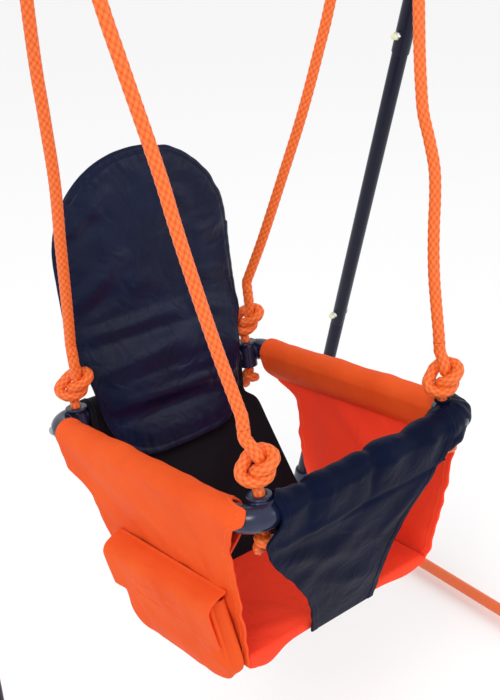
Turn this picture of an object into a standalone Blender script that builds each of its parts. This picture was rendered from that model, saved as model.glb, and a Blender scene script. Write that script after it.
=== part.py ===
"""A toddler swing: a bucket seat of cloth on a ring of tubes, roped under a free-standing tube frame.

Metres, +Z up, +X to the child's left, -Y to the front, origin on the floor under the seat.
Leg pieces are made in the frame of their own leg, whose Z runs up the tube from the leg's top
end and whose X points outwards, and the seat is made level and then leaned back as a whole.
"""
import math

import bmesh
import bpy
import numpy as np
from mathutils import Matrix, Vector

SWING_NAME = "toddler_swing"

# Clearances
GAP = 0.0003
HOLE_PLAY = 0.0003

# Top bar
BAR_Z = 1.390
BAR_HALF = 0.368
BAR_RADIUS = 0.016
BAR_WALL = 0.0015
BAR_SIDES = 12

# Legs: the axis of the left rear leg at the top and at the floor bar, then places along it
LEG_TOP = Vector((0.387, 0.030, 1.397))
LEG_FOOT = Vector((0.566, 0.566, 0.020))
LEG_SIDES = 12
LEG_START = 0.024
UPPER_END = 0.479
UPPER_RADIUS = 0.0125
UPPER_WALL = 0.0011
MIDDLE_OVERLAP = 0.060
MIDDLE_END = 1.009
MIDDLE_WALL = 0.0010
NECK_LENGTH = 0.052
NECK_TAPER = 0.004
UPPER_BOLT_PLACE = 0.4498
LOWER_BOLT_PLACE = 0.9848
LEG_STOP_ABOVE_BAR = 0.028

# Apex brackets
BRACKET_WALL = 0.0032
APEX_SLEEVE_TOP = -0.012
APEX_SLEEVE_END = 0.082
APEX_BOLT_PLACE = 0.055
APEX_BAR_SLEEVE = 0.046
APEX_END_WALL = 0.026
APEX_BAR_BOLT_INSET = 0.022
GUSSET_THICKNESS = 0.008
GUSSET_DROP = 0.058
SLEEVE_WALL = 0.0027

# Floor bars and feet
FLOOR_BAR_RADIUS = 0.0096
FLOOR_BAR_WALL = 0.0010
FOOT_RADIUS = 0.028
FOOT_HEIGHT = 0.013
SOLE_SIDES = 14
FOOT_SLEEVE = 0.060
FOOT_BAR_SLEEVE = 0.052
FOOT_BAR_STOP = 0.018
FOOT_WALL = 0.0034

# Fasteners of the frame
BOLT_RADIUS = 0.003
BOLT_SIDES = 6
BOLT_HEAD_RADIUS = 0.0058
BOLT_HEAD = 0.0040
NUT_RADIUS = 0.0058
NUT_THICKNESS = 0.0050
CAP_RADIUS = 0.0046
CAP_LENGTH = 0.0072
SINK = 0.95

# Hangers and the swing's pivot
HANGER_X = 0.212
PIVOT_DROP = 0.040
HANGER_SLEEVE = 0.040
HANGER_WALL = 0.0025
EAR_INNER = 0.0110
EAR_THICKNESS = 0.0030
EAR_RADIUS = 0.0110
PIVOT_RADIUS = 0.0040
PIVOT_HEAD = 0.0045
PIVOT_HEAD_RADIUS = 0.0078
PIVOT_NUT_RADIUS = 0.0085
PIVOT_TAIL = 0.0020
PIVOT_SIDES = 12
BUSH_WALL = 0.0026
BARREL_WALL = 0.0028
BARREL_HALF = 0.0095

# Links and saddles
BRIDGE_DROP = 0.0128
BRIDGE_THICKNESS = 0.0030
CHEEK_INNER = 0.0105
CHEEK_THICKNESS = 0.0030
CHEEK_RADIUS = 0.0120
SADDLE_DROP = 0.053
SADDLE_RADIUS = 0.0270
ROPE_TURN = 0.0250
SADDLE_SIDES = 20
RIVET_RADIUS = 0.0030
RIVET_HEAD = 0.0052

# Ropes
ROPE_DIAMETER = 0.0124
KNOT_DIAMETER = 0.0105
KNOT_WIDTH = 0.0116
KNOT_FOOT = -2.5
KNOT_POINTS = 34
KNOT_STEPS = 150
KNOT_GUIDE = (
    (0.0, 0.0, 3.4), (0.1, 0.05, 2.8), (0.25, 0.15, 2.1), (0.6, -0.1, 1.3), (0.95, -0.15, 0.3),
    (0.6, 0.2, -0.7), (-0.2, 0.45, -1.2), (-1.05, 0.25, -0.6), (-1.15, 0.0, 0.4), (-0.6, -0.45, 1.3),
    (0.3, -0.95, 1.9), (1.25, -0.75, 2.0), (1.55, 0.0, 1.5), (1.0, 0.85, 0.9), (0.25, 0.75, 0.2),
    (-0.25, 0.1, -0.45), (-0.25, -0.7, -1.1), (-0.05, -0.25, -1.8), (0.0, 0.0, -2.3),
)
STOPPER_TURNS = 1.6
STOPPER_RADIUS = 0.0070
STOPPER_PITCH = 0.0114
STOPPER_START = 0.006
STOPPER_POINTS = 15
ROPE_STEP = 0.045
ROPE_BOW = {
    ("right", "rear"): 0.006,
    ("right", "front"): -0.004,
    ("left", "rear"): 0.013,
    ("left", "front"): -0.005,
}
BOW_DIRECTION = Vector((0.78, -0.62, 0.0))

# Seat ring: its own frame has z = 0 on the rims of the rope collars
SEAT_Z = 0.654
SEAT_LEAN = -0.1271
ROPE_X = 0.130
ROPE_Y = 0.1714
SIDE_TUBE_X = 0.1543
CROSS_TUBE_Y = 0.1822
RING_Z = -0.0186
RING_RADIUS = 0.0110
RING_WALL = 0.0012
RING_SIDES = 12
CORNER_RADIUS = 0.0140
CORNER_BEND = 0.022
SOCKET_DEPTH = 0.022
COLLAR_RADIUS = 0.0125
COLLAR_SIDES = 12
COLLAR_BORE = (KNOT_DIAMETER / 2 + GAP) / math.cos(math.pi / COLLAR_SIDES)
COLLAR_RIM = 0.0042
COLLAR_RIM_WIDTH = 0.0022
COLLAR_FOOT_Z = -0.0350
PLUG_RADIUS = 0.0056
PLUG_DOME = 0.0060
PLUG_STEM = 0.0030
PLUG_DEPTH = 0.0090
PLUG_SEAT = 0.0033

# Cloth of the seat
CLOTH = 0.0020
SLEEVE_MID = 0.0157
SEAM_DROP = 0.040
SIDE_SLEEVE_END = 0.1545
FRONT_SLEEVE_END = 0.1160
BASE_Z = -0.2196
BASE_HALF = 0.1345
BASE_FRONT = -0.1235
BASE_REAR = 0.0450
BOARD_THICKNESS = 0.0050
FOLD_HEIGHT = 0.0035

# Backrest pad
PAD_TOP = 0.283
PAD_BOTTOM = -0.085
PAD_ARCH = 0.165
PAD_HALF = 0.125
PAD_WAIST = 0.109
PAD_SET_BACK = 0.017
PAD_THICKNESS = 0.0165
PAD_Y = CROSS_TUBE_Y - SLEEVE_MID - CLOTH / 2 - GAP - PAD_THICKNESS * 0.47

# Pocket on the right side panel, placed from the floor of the seat and from its middle
POUCH_TOP_Z = -0.122
POUCH_FRONT_Y = -0.128
POUCH_REAR_Y = 0.060
POUCH_HEIGHT = 0.108
POUCH_DEPTH = 0.026
POUCH_CORNER = 0.008
FLAP_RISE = 0.012
FLAP_LENGTH = 0.062
FLAP_MARGIN = 0.004
STRIP_THICKNESS = 0.0008
STRIP_WIDTH = 0.020
STRIP_LENGTH = 0.100
STRIP_DROP = 0.030

SIDES = {"left": 1, "right": -1}
ENDS = {"front": -1, "rear": 1}
PIVOT_Z = BAR_Z - PIVOT_DROP
LEG_LENGTH = (LEG_FOOT - LEG_TOP).length
MIDDLE_RADIUS = UPPER_RADIUS - UPPER_WALL - GAP
MIDDLE_START = UPPER_END - MIDDLE_OVERLAP
NECK_RADIUS = MIDDLE_RADIUS - MIDDLE_WALL - GAP
BOLT_TURN = Matrix.Rotation(math.radians(17), 4, "Z")


def linear(value):
    """A display colour channel from 0 to 255 as the linear value that a material takes."""
    share = value / 255
    return share / 12.92 if share <= 0.04045 else ((share + 0.055) / 1.055) ** 2.4


def finish(name, colour, roughness, metallic=0.0):
    """A Principled material of one colour."""
    material = bpy.data.materials.new(name)
    material.use_nodes = True
    shader = material.node_tree.nodes["Principled BSDF"]
    shader.inputs["Base Color"].default_value = (*[linear(c) for c in colour], 1.0)
    shader.inputs["Roughness"].default_value = roughness
    shader.inputs["Metallic"].default_value = metallic
    material.diffuse_color = shader.inputs["Base Color"].default_value
    return material


def clear_scene():
    """Start from an empty scene, with a collection for the parts and one for the cutters."""
    for old in list(bpy.data.objects):
        bpy.data.objects.remove(old, do_unlink=True)
    for name in (SWING_NAME, "cutters"):
        bpy.context.scene.collection.children.link(bpy.data.collections.new(name))


def link(obj, parent, matrix, collection="cutters"):
    """Put an object in a collection, under its parent, at a place in the parent's frame."""
    bpy.data.collections[collection].objects.link(obj)
    obj.parent = parent
    obj.matrix_local = matrix
    if collection == "cutters":
        obj.hide_render = True
        obj.display_type = "WIRE"
    return obj


def as_part(obj, name, material):
    """Make a working object one of the named parts."""
    bpy.data.collections["cutters"].objects.unlink(obj)
    bpy.data.collections[SWING_NAME].objects.link(obj)
    obj.hide_render = False
    obj.display_type = "TEXTURED"
    obj.name = name
    obj.data.name = name
    obj.data.materials.clear()
    obj.data.materials.append(material)
    return obj


def turned(profile, sides, parent=None, matrix=Matrix()):
    """A turned solid: (radius, height) pairs that run down the outer side, turned about Z.

    A profile that ends off the axis is closed into a ring.
    """
    mesh = bpy.data.meshes.new("turned")
    shape = bmesh.new()
    points = [shape.verts.new((radius, 0.0, height)) for radius, height in profile]
    for upper, lower in zip(points, points[1:]):
        shape.edges.new((upper, lower))
    if profile[0][0] > 0:
        shape.edges.new((points[-1], points[0]))
    shape.to_mesh(mesh)
    shape.free()
    obj = link(bpy.data.objects.new("turned", mesh), parent, matrix)
    screw = obj.modifiers.new("turn", "SCREW")
    screw.steps = sides
    screw.render_steps = sides
    screw.use_merge_vertices = True
    screw.merge_threshold = 0.00001
    screw.use_smooth_shade = True
    return obj


def rod(radius, low, high, sides, parent=None, matrix=Matrix()):
    """A solid round bar along Z."""
    return turned([(0, high), (radius, high), (radius, low), (0, low)], sides, parent, matrix)


def pipe(radius, bore, low, high, sides, parent=None, matrix=Matrix()):
    """A tube along Z, open at both ends."""
    profile = [(radius, high), (radius, low), (bore, low), (bore, high)]
    return turned(profile, sides, parent, matrix)


def block(low, high, parent=None, matrix=Matrix()):
    """A box between two corners."""
    low, high = Vector(low), Vector(high)
    mesh = bpy.data.meshes.new("block")
    shape = bmesh.new()
    bmesh.ops.create_cube(shape, size=1.0)
    bmesh.ops.scale(shape, vec=high - low, verts=shape.verts)
    bmesh.ops.translate(shape, vec=(high + low) / 2, verts=shape.verts)
    shape.to_mesh(mesh)
    shape.free()
    return link(bpy.data.objects.new("block", mesh), parent, matrix)


def plain(obj):
    """The object with its modifiers or curve turned into a welded mesh."""
    bpy.context.view_layer.update()
    graph = bpy.context.evaluated_depsgraph_get()
    mesh = bpy.data.meshes.new_from_object(obj.evaluated_get(graph))
    shape = bmesh.new()
    shape.from_mesh(mesh)
    bmesh.ops.remove_doubles(shape, verts=shape.verts, dist=0.000001)
    shape.to_mesh(mesh)
    shape.free()
    copy = link(bpy.data.objects.new(obj.name, mesh), obj.parent, obj.matrix_local.copy())
    bpy.data.objects.remove(obj, do_unlink=True)
    return copy


def plate(outline, thickness, parent=None, matrix=Matrix()):
    """A flat plate: an outline in XY, filled, with its thickness centred on it."""
    curve = bpy.data.curves.new("plate", "CURVE")
    curve.dimensions = "2D"
    curve.fill_mode = "BOTH"
    curve.extrude = thickness / 2
    spline = curve.splines.new("POLY")
    spline.points.add(len(outline) - 1)
    spline.use_cyclic_u = True
    for point, (x, y) in zip(spline.points, outline):
        point.co = (x, y, 0.0, 1.0)
    return plain(link(bpy.data.objects.new("plate", curve), parent, matrix))


def tube(points, radius, resolution, parent=None, matrix=Matrix()):
    """A round solid that follows a line of points."""
    curve = bpy.data.curves.new("tube", "CURVE")
    curve.dimensions = "3D"
    curve.bevel_depth = radius
    curve.bevel_resolution = resolution
    curve.use_fill_caps = True
    spline = curve.splines.new("POLY")
    spline.points.add(len(points) - 1)
    for point, place in zip(spline.points, points):
        point.co = (*place, 1.0)
    return link(bpy.data.objects.new("tube", curve), parent, matrix)


def combine(obj, other, operation):
    """Add another working solid to an object, or cut it away."""
    boolean = obj.modifiers.new(operation.lower(), "BOOLEAN")
    boolean.operation = operation
    boolean.solver = "EXACT"
    boolean.object = other
    return obj


def join(obj, *others):
    """The object with the others fused to it."""
    for other in others:
        combine(obj, other, "UNION")
    return obj


def cut(obj, *cutters):
    """The object with the cutters taken out of it."""
    for cutter in cutters:
        combine(obj, cutter, "DIFFERENCE")
    return obj


def smooth(obj):
    """Shade a plain mesh smooth, with its sharp edges kept."""
    obj.data.shade_smooth()
    obj.data.set_sharp_from_angle(angle=math.radians(35))
    return obj


def along_x(place=(0, 0, 0), sign=1):
    """A frame at a place whose Z points along X, or against it."""
    turn = Matrix.Rotation(math.radians(90) * sign, 4, "Y")
    return Matrix.Translation(place) @ turn


def along_y(place=(0, 0, 0)):
    """A frame at a place whose Z points along -Y."""
    return Matrix.Translation(place) @ Matrix.Rotation(math.radians(90), 4, "X")


def upright(x):
    """A frame for plates that stand square to X: outline x along Y, outline y along Z."""
    turn = Matrix(((0, 0, 1, 0), (1, 0, 0, 0), (0, 1, 0, 0), (0, 0, 0, 1)))
    return Matrix.Translation((x, 0, 0)) @ turn


def belt_outline(upper, upper_radius, lower, lower_radius, count=6):
    """The outline of a belt round two circles that stand one above the other."""
    drop = upper - lower
    lift = math.asin((upper_radius - lower_radius) / drop)
    points = []
    for index in range(count + 1):
        angle = -lift + (math.pi + 2 * lift) * index / count
        points.append((upper_radius * math.cos(angle), upper + upper_radius * math.sin(angle)))
    for index in range(count + 1):
        angle = math.pi + lift + (math.pi - 2 * lift) * index / count
        points.append((lower_radius * math.cos(angle), lower + lower_radius * math.sin(angle)))
    return points


def leg_frame(side, end):
    """The frame of one leg: Z up the tube from the top end, X outwards."""
    flip = Vector((side, end, 1))
    top = LEG_TOP * flip
    up = (top - LEG_FOOT * flip).normalized()
    out = Vector((side, 0, 0))
    out = (out - out.dot(up) * up).normalized()
    across = up.cross(out)
    turn = Matrix((out, across, up)).transposed().to_4x4()
    return Matrix.Translation(top) @ turn


def bolt_hole(matrix, reach):
    """A cutter for a bolt that lies along the matrix's Z."""
    return rod(BOLT_RADIUS + HOLE_PLAY, -reach, reach, BOLT_SIDES, None, matrix)


def leg_bolt_frame(frame, place):
    """The frame of a bolt through a leg: its Z points outwards."""
    return frame @ Matrix.Translation((0, 0, -place)) @ along_x() @ BOLT_TURN


def leg_tubes(side_name, end_name, steel):
    """The three tubes of one leg, each a sliding fit in the one above and bolted to it."""
    frame = leg_frame(SIDES[side_name], ENDS[end_name])
    upper_bore = UPPER_RADIUS - UPPER_WALL
    middle_bore = MIDDLE_RADIUS - MIDDLE_WALL
    upper = pipe(UPPER_RADIUS, upper_bore, -UPPER_END, -LEG_START, LEG_SIDES, None, frame)
    middle = pipe(MIDDLE_RADIUS, middle_bore, -MIDDLE_END, -MIDDLE_START, LEG_SIDES, None, frame)
    shoulder = -MIDDLE_END - GAP
    neck_top = -MIDDLE_END + NECK_LENGTH
    foot = -LEG_LENGTH + LEG_STOP_ABOVE_BAR + GAP
    neck_bore = NECK_RADIUS - MIDDLE_WALL
    profile = [
        (NECK_RADIUS, neck_top),
        (NECK_RADIUS, shoulder),
        (MIDDLE_RADIUS, shoulder),
        (MIDDLE_RADIUS, foot),
        (middle_bore, foot),
        (middle_bore, shoulder - NECK_TAPER),
        (neck_bore, shoulder - NECK_TAPER - MIDDLE_WALL),
        (neck_bore, neck_top),
    ]
    lower = turned(profile, LEG_SIDES, None, frame)
    drillings = (
        (APEX_BOLT_PLACE, upper),
        (UPPER_BOLT_PLACE, middle),
        (LOWER_BOLT_PLACE, lower),
    )
    for place, drilled in drillings:
        cut(drilled, bolt_hole(leg_bolt_frame(frame, place), UPPER_RADIUS * 2))
    join(upper, *bolt_set(UPPER_RADIUS, leg_bolt_frame(frame, UPPER_BOLT_PLACE)))
    join(middle, *bolt_set(MIDDLE_RADIUS, leg_bolt_frame(frame, LOWER_BOLT_PLACE)))
    for piece, part in ((upper, "upper"), (middle, "middle"), (lower, "lower")):
        as_part(piece, f"{side_name}_{end_name}_{part}_leg", steel)


def bar_bolt_frame(side):
    """The frame of the bolt that pins an apex bracket to the top bar: its Z points up."""
    return Matrix.Translation((side * (BAR_HALF - APEX_BAR_BOLT_INSET), 0, BAR_Z)) @ BOLT_TURN


def top_bar(steel):
    """The round bar that joins the two pairs of legs, drilled for the bracket bolts."""
    axis = along_x((0, 0, BAR_Z))
    bar = pipe(BAR_RADIUS, BAR_RADIUS - BAR_WALL, -BAR_HALF, BAR_HALF, BAR_SIDES, None, axis)
    for side in SIDES.values():
        cut(bar, bolt_hole(bar_bolt_frame(side), BAR_RADIUS * 2))
    as_part(bar, "top_bar", steel)


def apex_bracket(side_name, plastic):
    """The moulded junction of the top bar with a front and a rear leg."""
    side = SIDES[side_name]
    outer = BAR_RADIUS + GAP + BRACKET_WALL
    start = BAR_HALF - APEX_BAR_SLEEVE
    stop = BAR_HALF + APEX_END_WALL
    round_off = 0.006
    profile = [
        (0, stop),
        (outer - round_off, stop),
        (outer - round_off * 0.3, stop - round_off * 0.3),
        (outer, stop - round_off),
        (outer, start),
        (0, start),
    ]
    axis = along_x((0, 0, BAR_Z), side)
    bracket = turned(profile, BAR_SIDES, None, axis)
    cutters = [rod(BAR_RADIUS + GAP, start - 0.01, BAR_HALF + GAP, BAR_SIDES, None, axis)]
    bolts = bolt_set(outer, bar_bolt_frame(side))
    sleeve = UPPER_RADIUS + GAP + SLEEVE_WALL
    for end in ENDS.values():
        frame = leg_frame(side, end)
        profile = [
            (0, -APEX_SLEEVE_TOP),
            (sleeve - round_off, -APEX_SLEEVE_TOP),
            (sleeve, -APEX_SLEEVE_TOP - round_off),
            (sleeve, -APEX_SLEEVE_END),
            (0, -APEX_SLEEVE_END),
        ]
        join(bracket, turned(profile, LEG_SIDES, None, frame))
        low = -APEX_SLEEVE_END - 0.01
        cutters.append(rod(UPPER_RADIUS + GAP, low, GAP - LEG_START, LEG_SIDES, None, frame))
        bolts += bolt_set(sleeve, leg_bolt_frame(frame, APEX_BOLT_PLACE))
    slope = (LEG_FOOT.y - LEG_TOP.y) / (LEG_TOP.z - LEG_FOOT.z)
    top_half = LEG_TOP.y
    low_half = LEG_TOP.y + slope * GUSSET_DROP
    arch = [(low_half * math.cos(a), BAR_Z - GUSSET_DROP + low_half * 0.45 * math.sin(a))
            for a in (math.pi * k / 6 for k in range(7))]
    outline = [(top_half, BAR_Z), (-top_half, BAR_Z)] + arch[::-1]
    join(bracket, plate(outline, GUSSET_THICKNESS, None, upright(side * (LEG_TOP.x + 0.002))))
    cut(bracket, *cutters)
    join(bracket, *bolts)
    as_part(bracket, f"{side_name}_apex_bracket", plastic)


def floor_bar(side_name, orange):
    """The bar near the floor that ties a front leg to a rear leg."""
    half = LEG_FOOT.y - FOOT_BAR_STOP - GAP
    place = (SIDES[side_name] * LEG_FOOT.x, 0, LEG_FOOT.z)
    bore = FLOOR_BAR_RADIUS - FLOOR_BAR_WALL
    bar = pipe(FLOOR_BAR_RADIUS, bore, -half, half, LEG_SIDES, None, along_y(place))
    as_part(bar, f"{side_name}_floor_bar", orange)


def foot(side_name, end_name, plastic):
    """A foot: a flat round sole with a sleeve for the leg and one for the floor bar."""
    side, end = SIDES[side_name], ENDS[end_name]
    place = Vector((side * LEG_FOOT.x, end * LEG_FOOT.y, 0))
    profile = [
        (0, FOOT_HEIGHT),
        (FOOT_RADIUS * 0.80, FOOT_HEIGHT),
        (FOOT_RADIUS, FOOT_HEIGHT * 0.35),
        (FOOT_RADIUS, 0),
        (0, 0),
    ]
    turn = Matrix.Rotation(math.radians(9), 4, "Z")
    sole = turned(profile, SOLE_SIDES, None, Matrix.Translation(place) @ turn)
    frame = leg_frame(side, end)
    leg_outer = MIDDLE_RADIUS + GAP + FOOT_WALL
    leg_sleeve = rod(leg_outer, -LEG_LENGTH - 0.002, FOOT_SLEEVE - LEG_LENGTH, LEG_SIDES, None, frame)
    bar_outer = FLOOR_BAR_RADIUS + GAP + FOOT_WALL
    bar_turn = Matrix.Rotation(math.radians(90) * end, 4, "X")
    bar_frame = Matrix.Translation(place + Vector((0, 0, LEG_FOOT.z))) @ bar_turn
    profile = [
        (0, bar_outer * 0.9),
        (bar_outer * 0.7, bar_outer * 0.7),
        (bar_outer, 0),
        (bar_outer, -FOOT_BAR_SLEEVE),
        (0, -FOOT_BAR_SLEEVE),
    ]
    flip = Matrix.Rotation(math.pi, 4, "X")
    bar_sleeve = turned(profile, LEG_SIDES, None, bar_frame @ flip)
    join(sole, leg_sleeve, bar_sleeve)
    stop = LEG_STOP_ABOVE_BAR - LEG_LENGTH
    leg_bore = rod(MIDDLE_RADIUS + GAP, stop, stop + FOOT_SLEEVE, LEG_SIDES, None, frame)
    bar_bore = rod(FLOOR_BAR_RADIUS + GAP, FOOT_BAR_STOP, FOOT_BAR_SLEEVE * 1.5, LEG_SIDES, None, bar_frame)
    cut(sole, leg_bore, bar_bore)
    as_part(sole, f"{side_name}_{end_name}_foot", plastic)


def bolt_set(half_grip, matrix):
    """A bolt with the cap on its end, and its nut, made to be fused with what they clamp.

    The head bears on the +Z side. A twelve-sided tube is a little flatter than its radius, so the
    head and the nut reach SINK into it.
    """
    seat = half_grip * SINK
    nut_end = -(seat + NUT_THICKNESS)
    inside_nut = nut_end + NUT_THICKNESS / 4
    profile = [
        (0, seat + BOLT_HEAD),
        (BOLT_HEAD_RADIUS * 0.8, seat + BOLT_HEAD),
        (BOLT_HEAD_RADIUS, seat + BOLT_HEAD * 0.5),
        (BOLT_HEAD_RADIUS, seat),
        (BOLT_RADIUS, seat),
        (BOLT_RADIUS, inside_nut),
        (CAP_RADIUS, inside_nut),
        (CAP_RADIUS, nut_end - CAP_LENGTH * 0.55),
        (CAP_RADIUS * 0.7, nut_end - CAP_LENGTH * 0.88),
        (0, nut_end - CAP_LENGTH),
    ]
    nut = rod(NUT_RADIUS, nut_end, -seat, 6, None, matrix @ Matrix.Rotation(math.radians(7), 4, "Z"))
    return [turned(profile, BOLT_SIDES, None, matrix), nut]


def hanger_bracket(side_name, steel):
    """A sleeve on the top bar with two ears for the swing's pivot bolt."""
    x = SIDES[side_name] * HANGER_X
    bore = BAR_RADIUS + GAP
    sleeve_radius = bore + HANGER_WALL
    half = HANGER_SLEEVE / 2
    bar_axis = along_x((x, 0, BAR_Z))
    bracket = rod(sleeve_radius, -half, half, BAR_SIDES, None, bar_axis)
    outline = belt_outline(BAR_Z, sleeve_radius * 0.96, PIVOT_Z, EAR_RADIUS)
    for way in (-1, 1):
        middle = x + way * (EAR_INNER + EAR_THICKNESS / 2)
        join(bracket, plate(outline, EAR_THICKNESS, None, upright(middle)))
    pivot_axis = along_x((x, 0, PIVOT_Z))
    cut(
        bracket,
        rod(bore, -HANGER_SLEEVE, HANGER_SLEEVE, BAR_SIDES, None, bar_axis),
        rod(PIVOT_RADIUS + HOLE_PLAY, -HANGER_SLEEVE, HANGER_SLEEVE, PIVOT_SIDES, None, pivot_axis),
    )
    as_part(bracket, f"{side_name}_hanger_bracket", steel)


def pivot_bolt(side_name, zinc):
    """The bolt that one side of the swing turns on, with its nut."""
    grip = EAR_INNER + EAR_THICKNESS
    seat = grip + GAP
    tail = -(seat + NUT_THICKNESS + PIVOT_TAIL)
    profile = [
        (0, seat + PIVOT_HEAD),
        (PIVOT_HEAD_RADIUS * 0.8, seat + PIVOT_HEAD),
        (PIVOT_HEAD_RADIUS, seat + PIVOT_HEAD * 0.55),
        (PIVOT_HEAD_RADIUS, seat),
        (PIVOT_RADIUS, seat),
        (PIVOT_RADIUS, tail),
        (0, tail),
    ]
    side = SIDES[side_name]
    frame = along_x((side * HANGER_X, 0, PIVOT_Z), side)
    nut = rod(PIVOT_NUT_RADIUS, -seat - NUT_THICKNESS, -seat, 6, None, frame)
    as_part(join(turned(profile, PIVOT_SIDES, None, frame), nut), f"{side_name}_pivot_bolt", zinc)


def swing_links(swing, steel, plastic, zinc):
    """The turning link, bush, saddle and rivet of each hanger, in the swing's frame."""
    bush_bore = PIVOT_RADIUS + GAP
    bush_outer = bush_bore + BUSH_WALL
    barrel_bore = bush_outer + GAP
    cheek_low = -SADDLE_DROP
    cheek_high = -BRIDGE_DROP - CHEEK_RADIUS + GAP
    for side_name, side in SIDES.items():
        x = side * HANGER_X
        axis = along_x((x, 0, 0))
        link_body = rod(barrel_bore + BARREL_WALL, -BARREL_HALF, BARREL_HALF, PIVOT_SIDES, swing, axis)
        bridge_half = CHEEK_INNER + CHEEK_THICKNESS * 0.8
        bridge_low = -BRIDGE_DROP - BRIDGE_THICKNESS
        neck_half = BARREL_HALF * 0.7
        join(
            link_body,
            block((x - neck_half, -0.006, bridge_low + 0.001), (x + neck_half, 0.006, -0.005), swing),
            block(
                (x - bridge_half, -CHEEK_RADIUS * 0.85, bridge_low),
                (x + bridge_half, CHEEK_RADIUS * 0.85, -BRIDGE_DROP),
                swing,
            ),
        )
        for way in (-1, 1):
            outline = belt_outline(cheek_high, CHEEK_RADIUS, cheek_low, CHEEK_RADIUS)
            middle = x + way * (CHEEK_INNER + CHEEK_THICKNESS / 2)
            join(link_body, plate(outline, CHEEK_THICKNESS, swing, upright(middle)))
        saddle_axis = along_x((x, 0, -SADDLE_DROP))
        cut(
            link_body,
            rod(barrel_bore, -BARREL_HALF * 2, BARREL_HALF * 2, PIVOT_SIDES, swing, axis),
            rod(RIVET_RADIUS + HOLE_PLAY, -0.03, 0.03, BOLT_SIDES, swing, saddle_axis),
        )
        as_part(link_body, f"{side_name}_swing_link", steel)
        bush = pipe(bush_outer, bush_bore, -EAR_INNER + GAP, EAR_INNER - GAP, PIVOT_SIDES, swing, axis)
        as_part(bush, f"{side_name}_pivot_bush", plastic)
        as_part(saddle(swing, saddle_axis), f"{side_name}_rope_saddle", plastic)
        as_part(rivet(swing, saddle_axis), f"{side_name}_saddle_rivet", zinc)


def saddle(parent, matrix):
    """A grooved wheel that the rope bends over."""
    half = CHEEK_INNER - GAP
    groove = ROPE_DIAMETER / 2 + GAP * 2
    profile = [(SADDLE_RADIUS - 0.001, half), (SADDLE_RADIUS, half - 0.001)]
    for index in range(1, 5):
        angle = math.pi * index / 5
        profile.append((ROPE_TURN - groove * math.sin(angle), groove * math.cos(angle)))
    profile += [(SADDLE_RADIUS, 0.001 - half), (SADDLE_RADIUS - 0.001, -half)]
    bore = RIVET_RADIUS + HOLE_PLAY
    wheel = profile + [(bore, -half), (bore, half)]
    return turned(wheel, SADDLE_SIDES, parent, matrix)


def rivet(parent, matrix):
    """A rivet through the link's cheeks and the saddle."""
    seat = CHEEK_INNER + CHEEK_THICKNESS + GAP
    head = 0.0022
    profile = [
        (0, seat + head),
        (RIVET_HEAD * 0.6, seat + head),
        (RIVET_HEAD, seat),
        (RIVET_RADIUS, seat),
        (RIVET_RADIUS, -seat),
        (RIVET_HEAD, -seat),
        (RIVET_HEAD * 0.6, -seat - head),
        (0, -seat - head),
    ]
    return turned(profile, BOLT_SIDES, parent, matrix)


def smooth_line(points, step):
    """Points at an even step along a smooth curve through the given ones."""
    ends = [points[0] * 2 - points[1]] + points + [points[-1] * 2 - points[-2]]
    fine = []
    for before, start, stop, after in zip(ends, ends[1:], ends[2:], ends[3:]):
        for index in range(16):
            t = index / 16
            fine.append(0.5 * (
                2 * start + (stop - before) * t
                + (2 * before - 5 * start + 4 * stop - after) * t ** 2
                + (3 * start - before - 3 * stop + after) * t ** 3))
    fine.append(points[-1])
    lengths = [0.0]
    for one, two in zip(fine, fine[1:]):
        lengths.append(lengths[-1] + (two - one).length)
    count = max(2, round(lengths[-1] / step))
    line, index = [], 0
    for mark in (lengths[-1] * k / count for k in range(count + 1)):
        while index < len(fine) - 2 and lengths[index + 1] < mark:
            index += 1
        span = lengths[index + 1] - lengths[index]
        line.append(fine[index].lerp(fine[index + 1], (mark - lengths[index]) / span))
    return line


def seat_to_swing(point):
    """A place in the seat's own frame, in the swing's frame."""
    return Matrix.Rotation(SEAT_LEAN, 4, "X") @ Vector(point) + Vector((0, 0, SEAT_Z - PIVOT_Z))


def even_points(line, count):
    """The given number of points at an even step along a line."""
    steps = np.linalg.norm(np.diff(line, axis=0), axis=1)
    lengths = np.concatenate([[0.0], np.cumsum(steps)])
    marks = np.linspace(0.0, lengths[-1], count)
    return np.stack([np.interp(marks, lengths, line[:, axis]) for axis in range(3)], axis=1)


def tight_knot():
    """The line of an overhand knot that is drawn tight, in strand widths.

    It starts as a smooth line through KNOT_GUIDE. In each step every point moves towards the
    middle of its neighbours, which shortens the line, and strands that have come nearer to each
    other than one width push each other away.
    """
    guide = [Vector(point) for point in KNOT_GUIDE]
    line = even_points(np.array([tuple(point) for point in smooth_line(guide, 0.1)]), 110)
    index = np.arange(len(line))
    for step in range(KNOT_STEPS):
        spacing = np.linalg.norm(np.diff(line, axis=0), axis=1).mean()
        between = line[:, None] - line[None]
        distance = np.maximum(np.linalg.norm(between, axis=2), 0.000001)
        other = np.abs(index[:, None] - index) * spacing > 1.45
        share = np.where(other & (distance < 1.0), (1.0 - distance) / distance, 0.0)
        push = (share[..., None] * between).sum(axis=1) * 0.28
        size = np.maximum(np.linalg.norm(push, axis=1, keepdims=True), 0.000001)
        push *= np.minimum(1.0, 0.1 / size)
        middle = (line[:-2] + line[2:]) / 2
        line[1:-1] += (middle - line[1:-1]) * 0.3 + push[1:-1]
        if step % 5 == 4:
            line = even_points(line, len(line))
    return line


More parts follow.
